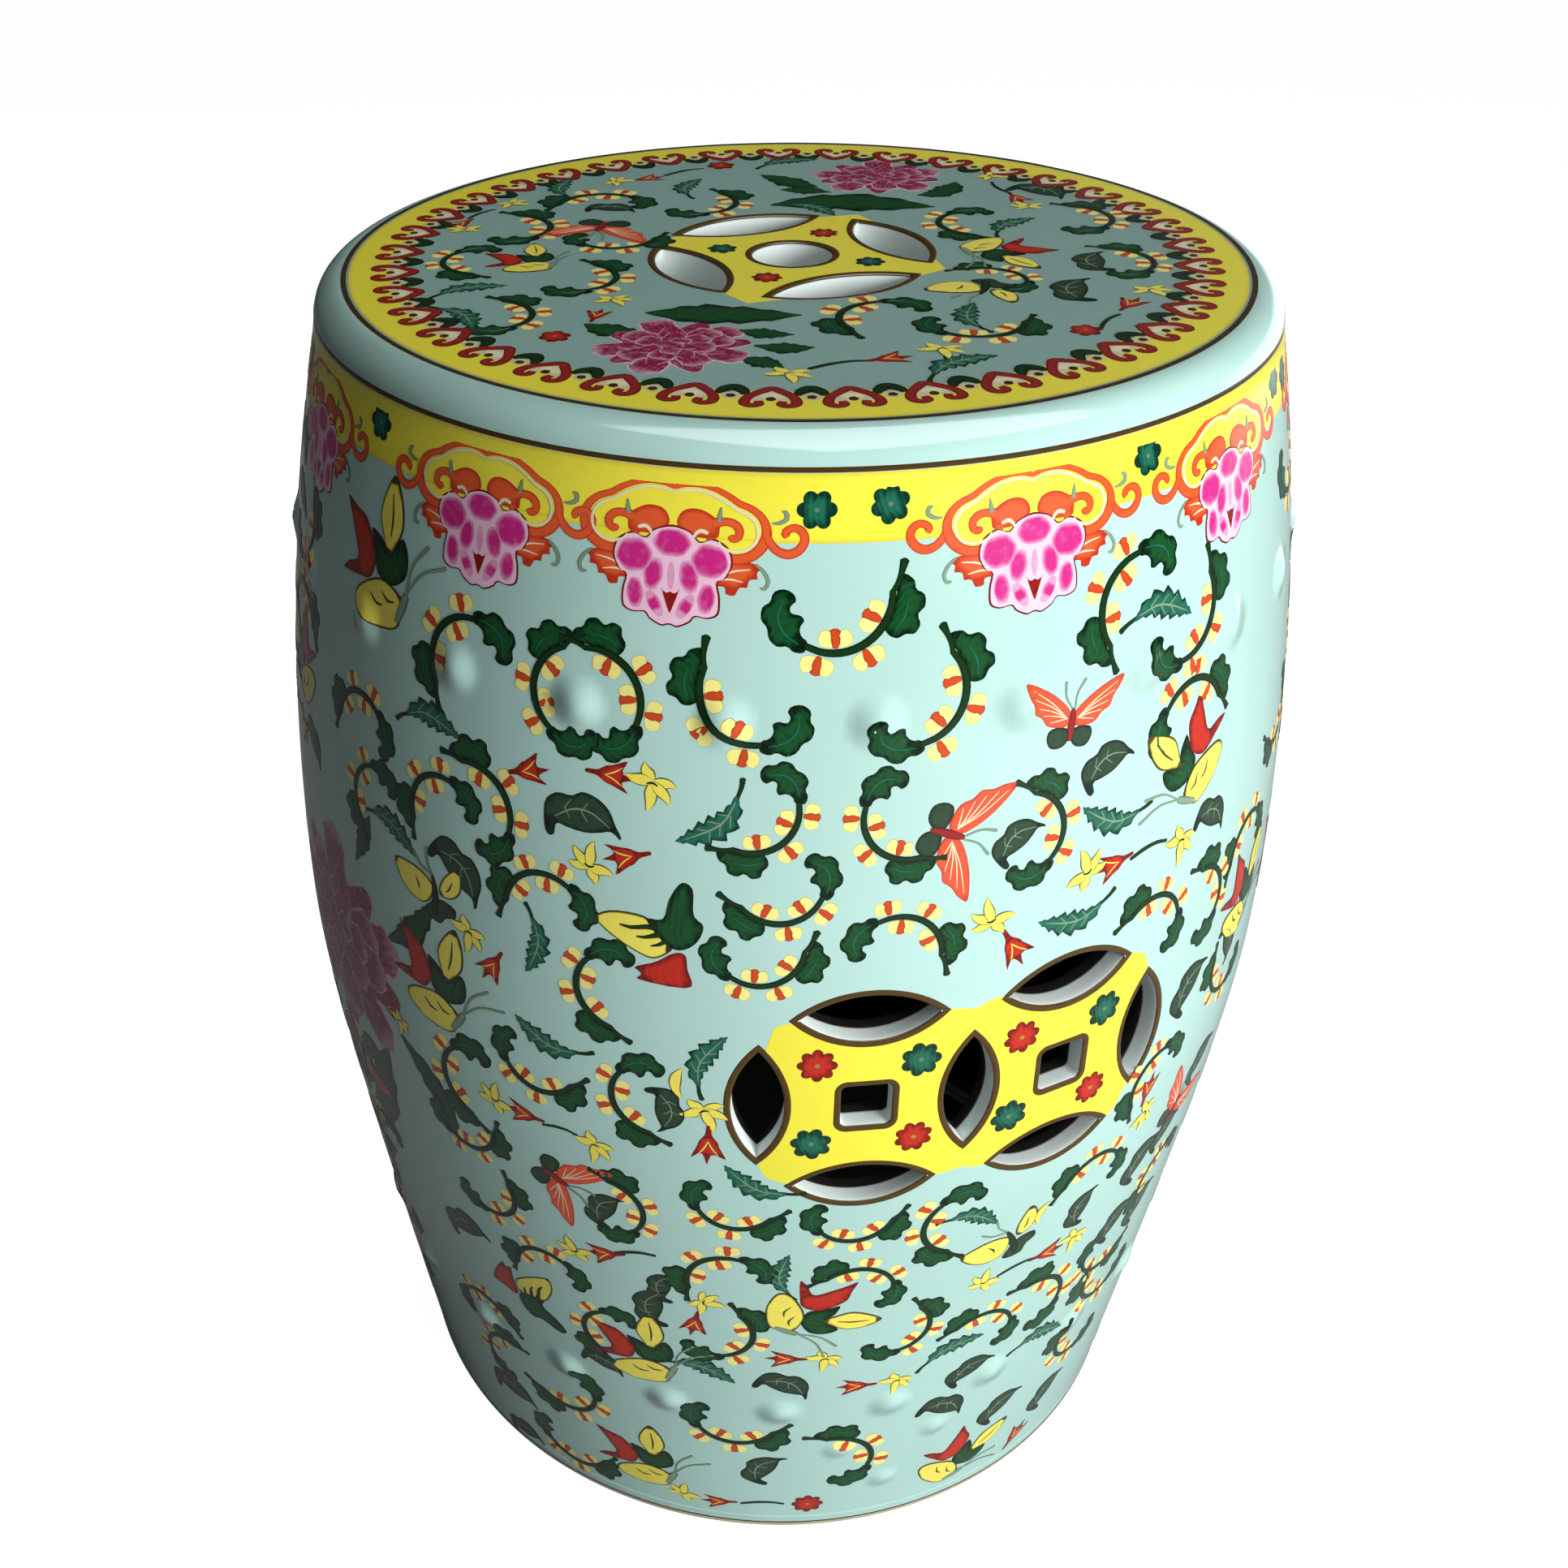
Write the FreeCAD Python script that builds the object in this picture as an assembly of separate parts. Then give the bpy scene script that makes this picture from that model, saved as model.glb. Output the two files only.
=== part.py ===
import FreeCAD, Part
import math
import os

# Ceramic garden stool: a hollow glazed barrel with a pierced seat, in millimetres.
# The origin is on the ground under the centre of the foot, with +Z up.
# The two pierced coin panels face -Y and +Y. Azimuths start at -Y and grow towards +X.

# Barrel outline
stool_height = 460.0
belly_height = 239.0
belly_radius = 181.9
collar_radius = 157.2
base_radius = 152.9
flank_softness = 0.2
outline_steps = 14

# Fired clay wall
wall_thickness = 11.0
lower_seam_height = 178.0
upper_seam_height = 306.0
tongue_height = 6.0
tongue_width = 5.0
slip_gap = 0.4

# Foot ring
foot_height = 9.0
foot_inner_radius = 130.0
foot_edge_round = 2.5
upstand_height = 7.0
upstand_width = 9.0

# Seat slab
seat_rim_thickness = 12.0
seat_core_thickness = 18.0
shoulder_round = 10.6

# Coin cut through the seat
seat_coin_turn = 6.0
seat_coin_hole_radius = 13.0
seat_lens_offset = 36.4
seat_lens_half_length = 24.5
seat_lens_half_width = 9.2

# Double coin cut through each side
panel_height = 250.0
panel_azimuths = (0.0, 180.0)
coin_half_spacing = 33.3
lens_offset = 34.0
lens_half_length = 21.6
lens_half_width = 8.3
square_hole_side = 16.0
square_hole_round = 2.0

# Sprigged studs
stud_count = 25
stud_radius = 9.0
stud_rise = 1.8
stud_seat_depth = 1.5
upper_stud_height = 381.0
upper_stud_turn = 3.5
lower_stud_height = 85.0
lower_stud_turn = 11.0
small_stud_radius = 6.5
small_stud_rise = 1.2
# Each small stud below the lower row: azimuth, height
small_stud_places = ((4.0, 60.0), (-9.5, 57.0), (-2.5, 31.0))

# Sizes that follow from the ones above
collar_height = stool_height - seat_rim_thickness
collar_drop = belly_radius - collar_radius
base_drop = belly_radius - base_radius
cutter_reach = belly_radius + wall_thickness
reveal = 2.0 * wall_thickness


def point(x, z):
    return FreeCAD.Vector(x, 0.0, z)


# Outside radius: a parabola above the belly, and below it a hyperbola that runs
# out into a nearly straight flank.
def outside_radius(z):
    if z >= belly_height:
        share = (z - belly_height) / (collar_height - belly_height)
        return belly_radius - collar_drop * share ** 2
    share = (belly_height - z) / belly_height
    full = math.hypot(1.0, flank_softness) - flank_softness
    return belly_radius - base_drop * (math.hypot(share, flank_softness) - flank_softness) / full


# A ring-shaped or solid slice of space between two heights.
def slab(low, high, outer):
    return Part.makeCylinder(outer, high - low, FreeCAD.Vector(0, 0, low))


def revolve(edges):
    face = Part.Face(Part.Wire(edges))
    return face.revolve(FreeCAD.Vector(0, 0, 0), FreeCAD.Vector(0, 0, 1), 360.0)


# The barrel as a filled solid, with its outside moved in by the given inset.
def full_barrel(inset):
    step = collar_height / outline_steps
    heights = [i * step for i in range(outline_steps + 1)]
    outline = [point(outside_radius(z) - inset, z) for z in heights]
    side = Part.BSplineCurve()
    side.interpolate(outline)
    base = Part.makeLine(point(0.0, 0.0), outline[0])
    lid = Part.makeLine(outline[-1], point(0.0, collar_height))
    axis = Part.makeLine(point(0.0, collar_height), point(0.0, 0.0))
    return revolve([base, side.toShape(), lid, axis])


def slice_of(solid, low, high):
    return solid.common(slab(low, high, cutter_reach))


# A pointed lens, long along its local X, as two arcs in a plane.
def lens_wire(half_length, half_width, centre, along, across):
    tip_a = centre - along * half_length
    tip_b = centre + along * half_length
    arc_a = Part.Arc(tip_a, centre + across * half_width, tip_b).toShape()
    arc_b = Part.Arc(tip_b, centre - across * half_width, tip_a).toShape()
    return Part.Wire([arc_a, arc_b])


# A square with rounded corners, centred on a point, as a wire.
def square_wire(side, corner, centre, along, across):
    half = side / 2.0
    flat = half - corner
    bow = half - corner * (1.0 - math.sqrt(0.5))
    edges = []
    for k in range(4):
        turn = FreeCAD.Rotation(along.cross(across), 90.0 * k)
        a = turn.multVec(along)
        b = turn.multVec(across)
        edges.append(Part.makeLine(centre + a * half - b * flat, centre + a * half + b * flat))
        start = centre + a * half + b * flat
        middle = centre + a * bow + b * bow
        end = centre + a * flat + b * half
        edges.append(Part.Arc(start, middle, end).toShape())
    return Part.Wire(edges)


# The hole cutters of one side panel. Each runs radially through the wall, at its
# own place round the barrel.
def panel_cutters(azimuth):
    places = [("square", -coin_half_spacing, 0.0), ("square", coin_half_spacing, 0.0)]
    places.append(("upright", 0.0, 0.0))
    places.append(("upright", -coin_half_spacing - lens_offset, 0.0))
    places.append(("upright", coin_half_spacing + lens_offset, 0.0))
    for side in (-coin_half_spacing, coin_half_spacing):
        places.append(("lying", side, lens_offset))
        places.append(("lying", side, -lens_offset))
    cutters = []
    up = FreeCAD.Vector(0, 0, 1)
    for kind, sideways, rise in places:
        turn = math.radians(azimuth) + sideways / outside_radius(panel_height)
        out = FreeCAD.Vector(math.sin(turn), -math.cos(turn), 0)
        along = FreeCAD.Vector(math.cos(turn), math.sin(turn), 0)
        start = out * (collar_radius - reveal) + up * (panel_height + rise)
        if kind == "square":
            wire = square_wire(square_hole_side, square_hole_round, start, along, up)
        elif kind == "upright":
            wire = lens_wire(lens_half_length, lens_half_width, start, up, along)
        else:
            wire = lens_wire(lens_half_length, lens_half_width, start, along, up)
        depth = cutter_reach - (collar_radius - reveal)
        cutters.append(Part.Face(wire).extrude(out * depth))
    return cutters


# The coin through the seat: a round hole and four lenses round it.
def seat_cutters():
    low = collar_height - seat_core_thickness
    up = FreeCAD.Vector(0, 0, 1)
    lift = FreeCAD.Vector(0, 0, 2.0 * seat_core_thickness)
    cutters = [Part.makeCylinder(seat_coin_hole_radius, lift.z, FreeCAD.Vector(0, 0, low))]
    for k in range(4):
        turn = math.radians(seat_coin_turn + 90.0 * k)
        out = FreeCAD.Vector(math.cos(turn), math.sin(turn), 0)
        along = up.cross(out)
        centre = out * seat_lens_offset + up * low
        wire = lens_wire(seat_lens_half_length, seat_lens_half_width, centre, along, out)
        cutters.append(Part.Face(wire).extrude(lift))
    return cutters


# One thrown section of the wall. A tongue on its top edge centres the section above,
# and a socket in its bottom edge takes the tongue of the section below.
def make_section(low, high, tongued, socketed):
    section = slice_of(outside, low, high)
    if tongued:
        section = section.fuse(slice_of(tongue, high, high + tongue_height)).removeSplitter()
    section = section.cut(inside)
    if socketed:
        section = section.cut(slice_of(socket, low, low + tongue_height + slip_gap))
    return section


def make_belly_barrel():
    section = make_section(lower_seam_height, upper_seam_height, True, True)
    for azimuth in panel_azimuths:
        for cutter in panel_cutters(azimuth):
            section = section.cut(cutter)
    return section


# The foot ring carries the wall on its top face, and its upstand stands inside the wall.
def make_foot_ring():
    ring = slice_of(outside, 0.0, foot_height)
    ring = ring.cut(slab(0.0, foot_height, foot_inner_radius))
    rim = [e for e in ring.Edges if abs(e.BoundBox.ZMax) < 0.001 and e.BoundBox.XMax > foot_inner_radius + 1.0]
    ring = ring.makeFillet(foot_edge_round, rim)
    outer = outside_radius(foot_height) - wall_thickness - slip_gap
    top = foot_height + upstand_height
    upstand = slab(foot_height, top, outer).cut(slab(foot_height, top, outer - upstand_width))
    return ring.fuse(upstand).removeSplitter()


# The seat rests on the collar by its rim, and its thicker core drops inside the wall.
def make_seat_slab():
    core_radius = collar_radius - wall_thickness - slip_gap
    core_low = stool_height - seat_core_thickness
    round_low = stool_height - shoulder_round
    round_in = collar_radius - shoulder_round
    bow = shoulder_round * math.sqrt(0.5)
    corners = [
        point(0.0, core_low),
        point(core_radius, core_low),
        point(core_radius, collar_height),
        point(collar_radius, collar_height),
        point(collar_radius, round_low),
    ]
    edges = [Part.makeLine(a, b) for a, b in zip(corners, corners[1:])]
    middle = point(round_in + bow, round_low + bow)
    shoulder = Part.Arc(corners[-1], middle, point(round_in, stool_height))
    edges.append(shoulder.toShape())
    edges.append(Part.makeLine(point(round_in, stool_height), point(0.0, stool_height)))
    edges.append(Part.makeLine(point(0.0, stool_height), corners[0]))
    slab_solid = revolve(edges)
    for cutter in seat_cutters():
        slab_solid = slab_solid.cut(cutter)
    return slab_solid


# One stud: the cap of a ball that stands proud of the wall, on a short plug that is
# pressed into a seat in the soft wall.
def make_stud(azimuth, height, radius, rise):
    ball_radius = (radius ** 2 + rise ** 2) / (2.0 * rise)
    turn = math.radians(azimuth)
    slope = (outside_radius(height + 1.0) - outside_radius(height - 1.0)) / 2.0
    out = FreeCAD.Vector(math.sin(turn), -math.cos(turn), -slope).normalize()
    reach = outside_radius(height)
    foot = FreeCAD.Vector(reach * math.sin(turn), -reach * math.cos(turn), height)
    ball = Part.makeSphere(ball_radius, foot - out * (ball_radius - rise))
    cap = ball.common(Part.makeCylinder(2.0 * radius, 2.0 * radius, foot, out))
    plug = Part.makeCylinder(radius, stud_seat_depth, foot - out * stud_seat_depth, out)
    return cap.fuse(plug).removeSplitter()


def make_stud_row(height, start):
    pitch = 360.0 / stud_count
    turns = [start + pitch * k for k in range(stud_count)]
    return [make_stud(turn, height, stud_radius, stud_rise) for turn in turns]


os.makedirs("parts", exist_ok=True)

outside = full_barrel(0.0)
inside = full_barrel(wall_thickness)
tongue = full_barrel(wall_thickness - tongue_width)
socket = full_barrel(wall_thickness - tongue_width - slip_gap)

upper_studs = make_stud_row(upper_stud_height, upper_stud_turn)
lower_studs = make_stud_row(lower_stud_height, lower_stud_turn)
for azimuth, height in small_stud_places:
    lower_studs.append(make_stud(azimuth, height, small_stud_radius, small_stud_rise))

nodes = {
    "foot_ring": make_foot_ring(),
    "lower_barrel": make_section(foot_height, lower_seam_height, True, False).cut(lower_studs),
    "belly_barrel": make_belly_barrel(),
    "upper_barrel": make_section(upper_seam_height, collar_height, False, True).cut(upper_studs),
    "seat_slab": make_seat_slab(),
    "upper_studs": Part.makeCompound(upper_studs),
    "lower_studs": Part.makeCompound(lower_studs),
}

for name, shape in nodes.items():
    shape.exportStep("parts/" + name + ".step")
    print(name, len(shape.Solids), "solids", round(shape.Volume), "mm3", shape.isValid())
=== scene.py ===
import bpy
import math
import numpy as np
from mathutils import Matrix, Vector
from mathutils.geometry import delaunay_2d_cdt


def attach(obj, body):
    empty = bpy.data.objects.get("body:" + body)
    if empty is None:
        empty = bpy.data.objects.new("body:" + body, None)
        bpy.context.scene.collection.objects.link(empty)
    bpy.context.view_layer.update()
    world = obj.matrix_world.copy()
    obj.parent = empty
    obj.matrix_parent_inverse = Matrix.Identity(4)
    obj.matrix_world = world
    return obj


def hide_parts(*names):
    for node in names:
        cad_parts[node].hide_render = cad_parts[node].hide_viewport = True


# Ceramic garden stool. Shapes are worked out in millimetres and written to the meshes in metres.
# Azimuths are in degrees, 0 at the front (-Y) and growing towards +X; heights start at the ground.

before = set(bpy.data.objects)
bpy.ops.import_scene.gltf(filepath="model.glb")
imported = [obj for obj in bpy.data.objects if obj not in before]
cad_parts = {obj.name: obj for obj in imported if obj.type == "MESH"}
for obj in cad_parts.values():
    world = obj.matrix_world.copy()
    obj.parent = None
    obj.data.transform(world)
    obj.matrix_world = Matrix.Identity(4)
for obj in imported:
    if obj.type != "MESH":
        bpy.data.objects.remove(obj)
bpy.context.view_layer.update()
mm = 0.001

view = {
    "place": (-0.2074, -0.5698, 0.6403),   # camera, metres
    "turn": (56.426, 0.864, -15.915),      # degrees about X, Y, Z
    "lens": 42.165,                        # mm on a 36 mm wide sensor
    "shift": (0.0838, 0.0203),
}

barrel = {
    "height": 460.0, "collar": 448.0, "belly": 239.0, "foot": 9.0,
    "upperSeam": 306.0, "lowerSeam": 178.0,
    "bellyRadius": 181.9, "collarRadius": 157.2, "baseRadius": 152.9, "flankSoftness": 0.2,
    "shoulderRound": 10.6, "wall": 11.0, "inset": 0.3,
    "columns": 480, "rowHeight": 2.2,
}

studs = {
    "rows": ((381.0, 3.5), (85.0, 11.0)),   # height, azimuth of the first
    "count": 25, "radius": 10.0, "rise": 1.7,
    "strays": ((4.0, 60.0), (-9.5, 57.0), (-2.5, 31.0)),
    "strayRadius": 7.5, "strayRise": 1.1,
    "shade": 1.7,           # how much more than the clay the glaze's shading leans on a stud
}

panel = {
    "height": 250.0, "azimuths": (0.0, 180.0), "coinShift": 33.3, "lensShift": 34.0,
    "lensLength": 21.6, "lensWidth": 8.3, "square": 8.0, "corner": 2.0,
    "edge": 0.9,            # rounding of the glazed edge
    "halfWidth": 27.0,      # degrees of wall meshed round the holes
    "low": 201.0, "high": 300.0, "gap": 1.1,   # gap between the holes' rims and the loose points of the skin
    # Painted shade: a hole's wall is painted darker between these depths, for the shade deep in the hole.
    "shadeFrom": 4.5, "shadeTo": 7.5,         # depth in a hole where its wall turns dark
}

seat = {
    "core": 18.0, "coreRadius": 145.8, "turn": 6.0,
    "hole": 13.0, "lensShift": 36.4, "lensLength": 24.5, "lensWidth": 9.2,
    "edge": 1.1, "columns": 360,
    "patch": 76.0, "patchSpacing": 3.0, "gap": 1.4,   # the middle's radius, its loose points and their gap to a rim
    "flatRows": 20, "bendRows": 12,         # rings on the level part and round the shoulder
    # Painted shade: a hole's wall is painted darker between these depths, for the shade deep in the hole.
    "shadeFrom": 8.0, "shadeTo": 15.0,        # depth in a hole where its wall turns dark
}

footRing = {"inner": 130.0, "round": 2.5, "upstand": 7.0, "upstandWidth": 9.0, "columns": 240}


# ---- surfaces

def wallRadius(z, lift=0.0):
    # Parabola above the belly, hyperbola below it, quarter round at the shoulder, all moved by the lift.
    b = barrel
    z = np.asarray(z, float)
    rise = np.clip((z - b["belly"]) / (b["collar"] - b["belly"]), 0.0, 1.0)
    fall = np.clip((b["belly"] - z) / b["belly"], 0.0, 1.0)
    soft = b["flankSoftness"]
    bend = (np.hypot(fall, soft) - soft) / (math.hypot(1.0, soft) - soft)
    off = lift - b["inset"]
    side = b["bellyRadius"] - (b["bellyRadius"] - b["collarRadius"]) * rise ** 2
    side = side - (b["bellyRadius"] - b["baseRadius"]) * bend + off
    spring = b["height"] - b["shoulderRound"]
    reach = b["shoulderRound"] + off
    arch = b["collarRadius"] - b["shoulderRound"] + np.sqrt(np.maximum(reach ** 2 - (z - spring) ** 2, 0.0))
    return np.where(z > spring, arch, side)


def mound(distance, radius, rise):
    # One smooth cosine hump: full rise in the middle, level at the radius.
    return rise * (0.5 + 0.5 * np.cos(math.pi * np.clip(distance / radius, 0.0, 1.0)))


def studRise(azimuth, z):
    # Height of the nearest stud of each row, measured along the wall, and of the strays.
    azimuth, z = np.broadcast_arrays(np.asarray(azimuth, float), np.asarray(z, float))
    total = np.zeros(azimuth.shape)
    radius = wallRadius(z)
    pitch = 360.0 / studs["count"]
    for height, first in studs["rows"]:
        off = (azimuth - first) - pitch * np.round((azimuth - first) / pitch)
        total = total + mound(np.hypot(np.radians(off) * radius, z - height), studs["radius"], studs["rise"])
    for turn, height in studs["strays"]:
        off = (azimuth - turn + 180.0) % 360.0 - 180.0
        total = total + mound(np.hypot(np.radians(off) * radius, z - height), studs["strayRadius"],
                              studs["strayRise"])
    return total


def aroundAxis(radius, azimuth, z):
    # The point at a radius and azimuth round the stool's axis, and a height.
    turn = np.radians(azimuth)
    return np.stack(np.broadcast_arrays(radius * np.sin(turn), -radius * np.cos(turn), z), axis=-1)


def wallPoint(azimuth, z, lift=0.0, swell=1.0):
    # Azimuth and height to a point on the glaze, raised by the lift and by the studs times their swell.
    azimuth, z = np.broadcast_arrays(np.asarray(azimuth, float), np.asarray(z, float))
    return aroundAxis(wallRadius(z, lift) + swell * studRise(azimuth, z), azimuth, z)


def wallNormal(azimuth, z):
    # Cross product of the two tangents, taken as small steps either way.
    step, swell = 0.05, studs["shade"]
    along = wallPoint(azimuth + step, z, 0.0, swell) - wallPoint(azimuth - step, z, 0.0, swell)
    up = wallPoint(azimuth, z + step, 0.0, swell) - wallPoint(azimuth, z - step, 0.0, swell)
    normal = np.cross(along, up)
    return normal / np.linalg.norm(normal, axis=-1, keepdims=True)


def seatPoint(x, y, lift=0.0):
    # The seat is level: its plane moved up by the lift.
    x, y = np.broadcast_arrays(np.asarray(x, float), np.asarray(y, float))
    return np.stack([x, y, np.full(x.shape, barrel["height"] - barrel["inset"]) + lift], axis=-1)


def levelNormals(points):
    up = np.zeros(points.shape)
    up[..., 2] = 1.0
    return up


# ---- mesh helpers

def gridFaces(rows, columns):
    # Quads between rings of points that lie one above the other.
    row = np.arange(rows - 1)[:, None]
    column = np.arange(columns)[None, :]
    here = row * columns + column
    right = row * columns + (column + 1) % columns
    return np.stack([here, right, right + columns, here + columns], axis=-1).reshape(-1, 4)


def tubeFaces(rows, columns):
    # The same, with the last ring joined back to the first.
    here = np.arange(columns)
    right = (here + 1) % columns
    last = (rows - 1) * columns
    return np.concatenate([gridFaces(rows, columns), np.stack([last + here, last + right, right, here], axis=-1)])


def triangles(quads):
    return np.concatenate([quads[:, [0, 1, 2]], quads[:, [0, 2, 3]]])


def ringEdges(count):
    here = np.arange(count)
    return np.stack([here, (here + 1) % count], axis=-1)


def gridPoints(across, up):
    return np.stack([m.ravel() for m in np.meshgrid(across, up)], axis=-1)


def gapTo(points, loop):
    # How far each point is from the nearest one of the loop.
    return np.linalg.norm(points[:, None] - loop[None], axis=-1).min(axis=1)


def triangulate(points, edges, within, closeness):
    # Constrained triangulation; within 1 keeps only what the edges enclose, 0 keeps everything.
    made = delaunay_2d_cdt(list(map(Vector, points.tolist())), edges.tolist(), [], within, closeness)
    return np.array([tuple(v) for v in made[0]]), np.array([f for f in made[2] if len(f) == 3])


def facingUp(flat, faces):
    # Clockwise triangles turned over, and twice the area of each.
    a, b, c = [flat[faces[:, k]] for k in range(3)]
    area = (b[:, 0] - a[:, 0]) * (c[:, 1] - a[:, 1]) - (b[:, 1] - a[:, 1]) * (c[:, 0] - a[:, 0])
    return np.where(area[:, None] < 0.0, faces[:, ::-1], faces), np.abs(area)


def weld(points, faces):
    # Points that share a place to a hundredth of a millimetre become one, and slivers go.
    keys = np.round(points * 100.0).astype(np.int64)
    first, back = np.unique(keys, axis=0, return_index=True, return_inverse=True)[1:]
    back = back.reshape(-1)
    joined = []
    for block in faces:
        block = back[block]
        if block.shape[1] == 3:
            whole = (block[:, 0] != block[:, 1]) & (block[:, 1] != block[:, 2]) & (block[:, 2] != block[:, 0])
            block = block[whole]
        joined.append(block)
    return points[first], joined, first


def addPiece(name, points, faces, material, normals, replaces=(), cells=None, marks=None):
    # Writes points and faces to a mesh, which rides on the stool's one body. Normals that aren't known are nan.
    mesh = bpy.data.meshes.new(name)
    corners = np.concatenate([block.ravel() for block in faces]).astype(np.int32)
    sizes = np.concatenate([np.full(len(block), block.shape[1]) for block in faces])
    starts = np.concatenate([[0], np.cumsum(sizes)[:-1]]).astype(np.int32)
    mesh.vertices.add(len(points))
    mesh.vertices.foreach_set("co", (points * mm).astype(np.float32).ravel())
    mesh.loops.add(len(corners))
    mesh.loops.foreach_set("vertex_index", corners)
    mesh.polygons.add(len(starts))
    mesh.polygons.foreach_set("loop_start", starts)
    mesh.update(calc_edges=True)
    mesh.shade_smooth()
    if cells is not None:
        layer = mesh.uv_layers.new(name="OFBake")
        layer.data.foreach_set("uv", cells[corners].astype(np.float32).ravel())
    own = np.zeros(len(points) * 3, dtype=np.float32)
    mesh.vertex_normals.foreach_get("vector", own)
    own = own.reshape(-1, 3)
    known = ~np.isnan(normals[:, 0])
    own[known] = normals[known]
    mesh.normals_split_custom_set_from_vertices(own.tolist())
    piece = bpy.data.objects.new(name, mesh)
    bpy.context.scene.collection.objects.link(piece)
    mesh.materials.append(material)
    if marks is not None:
        mesh.attributes.new("cutWall", "FLOAT", "POINT").data.foreach_set("value", marks.astype(np.float32))
    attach(piece, "root")
    if replaces:
        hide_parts(*replaces)
    return piece


class Heap:
    # Collects blocks of points, faces, known normals and marks of cut clay for one piece.
    def __init__(self):
        self.points, self.faces, self.normals, self.marks, self.total = [], [], [], [], 0

    def add(self, points, faces, normals=None, marks=None):
        points = points.reshape(-1, 3)
        if normals is None:
            normals = np.full(points.shape, np.nan)
        self.points.append(points)
        self.normals.append(normals.reshape(-1, 3))
        self.marks.append(np.zeros(len(points)) if marks is None else marks)
        self.faces.append(faces + self.total)
        self.total += len(points)

    def finish(self, name, material, slot, replaces=()):
        points, faces, first = weld(np.concatenate(self.points), self.faces)
        normals = np.concatenate(self.normals)[first]
        marks = np.concatenate(self.marks)[first]
        return addPiece(name, points, faces, material, normals, replaces, marks=marks)


# ---- pierced holes

def lensOutline(length, width, grow, count):
    # Two arcs through the tips, both moved out by grow; counter-clockwise from the right-hand tip.
    radius = (length ** 2 + width ** 2) / (2.0 * width)
    offset = radius - width
    reach = radius + grow
    half = math.acos(offset / reach)
    sweep = np.linspace(-half, half, count // 2, endpoint=False)
    top = np.stack([-reach * np.sin(sweep), reach * np.cos(sweep) - offset], axis=-1)
    return np.concatenate([top, -top])


def squareOutline(half, corner, grow, count):
    # Four rounded corners joined by straight sides, moved out by grow.
    sweep = np.linspace(0.0, 0.5 * math.pi, count // 4)
    parts = []
    for k in range(4):
        turn = sweep + 0.5 * math.pi * k
        sx, sy = (1, -1, -1, 1)[k], (1, 1, -1, -1)[k]
        radius = corner + grow
        parts.append(np.stack([sx * (half - corner) + radius * np.cos(turn),
                               sy * (half - corner) + radius * np.sin(turn)], axis=-1))
    return np.concatenate(parts)


def roundOutline(radius, grow, count):
    turn = np.linspace(0.0, 2.0 * math.pi, count, endpoint=False)
    return (radius + grow) * np.stack([np.cos(turn), np.sin(turn)], axis=-1)


def turned(points, degrees):
    c, s = math.cos(math.radians(degrees)), math.sin(math.radians(degrees))
    return np.stack([c * points[..., 0] - s * points[..., 1], s * points[..., 0] + c * points[..., 1]], axis=-1)


holePoints = 80   # points of a hole's outline

# Each side hole: kind, place along the wall, place above the panel's middle.
sideHoles = [("square", -1, 0), ("square", 1, 0), ("upright", 0, 0), ("upright", -2, 0), ("upright", 2, 0),
             ("lying", -1, 1), ("lying", -1, -1), ("lying", 1, 1), ("lying", 1, -1)]


def sideHolePlace(hole):
    # Half steps of the coin spacing: a coin's own middle, the shared lens, or a coin's far lens.
    column, row = hole[1:]
    sideways = {0: 0.0, 1: panel["coinShift"], 2: panel["coinShift"] + panel["lensShift"]}[abs(column)]
    return math.copysign(sideways, column), row * panel["lensShift"]


def sideHoleOutline(hole, grow):
    kind = hole[0]
    if kind == "square":
        return squareOutline(panel["square"], panel["corner"], grow, holePoints)
    shape = lensOutline(panel["lensLength"], panel["lensWidth"], grow, holePoints)
    return turned(shape, 90.0) if kind == "upright" else shape


def throughWall(hole, centre, outline, share, lift=0.0):
    # A hole's outline pushed straight through the wall; share 0 is the outer skin and 1 the inner one.
    sideways, rise = sideHolePlace(hole)
    turn = math.radians(centre) + sideways / barrel["bellyRadius"]
    across, z = outline[..., 0], outline[..., 1] + panel["height"] + rise
    outer = np.sqrt(wallRadius(z, lift) ** 2 - across ** 2)
    inner = np.sqrt((wallRadius(z) - barrel["wall"]) ** 2 - across ** 2)
    reach = outer + share * (inner - outer)
    x = reach * math.sin(turn) + across * math.cos(turn)
    y = -reach * math.cos(turn) + across * math.sin(turn)
    return np.stack([x, y, z], axis=-1)


def insideHole(kind, across, up, grow):
    # True inside the hole's outline moved out by grow.
    if kind == "round":
        return np.hypot(across, up) < seat["hole"] + grow
    if kind == "square":
        return np.maximum(np.abs(across), np.abs(up)) < panel["square"] + grow
    owner = seat if kind == "seat" else panel
    length, width = owner["lensLength"], owner["lensWidth"]
    radius = (length ** 2 + width ** 2) / (2.0 * width)
    long, short = (up, across) if kind == "upright" else (across, up)
    return np.hypot(long, np.abs(short) + radius - width) < radius + grow


def unrolled(points):
    # Arc length at the belly's radius, and height.
    return np.stack([np.arctan2(points[:, 0], -points[:, 1]) * barrel["bellyRadius"], points[:, 2]], axis=-1)


def clearOfSideHoles(points, grow):
    # True where a place along and above the panel's middle is outside every hole moved out by grow.
    free = np.ones(len(points), bool)
    for hole in sideHoles:
        sideways, rise = sideHolePlace(hole)
        free &= ~insideHole(hole[0], points[:, 0] - sideways, points[:, 1] - rise, grow)
    return free


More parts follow.
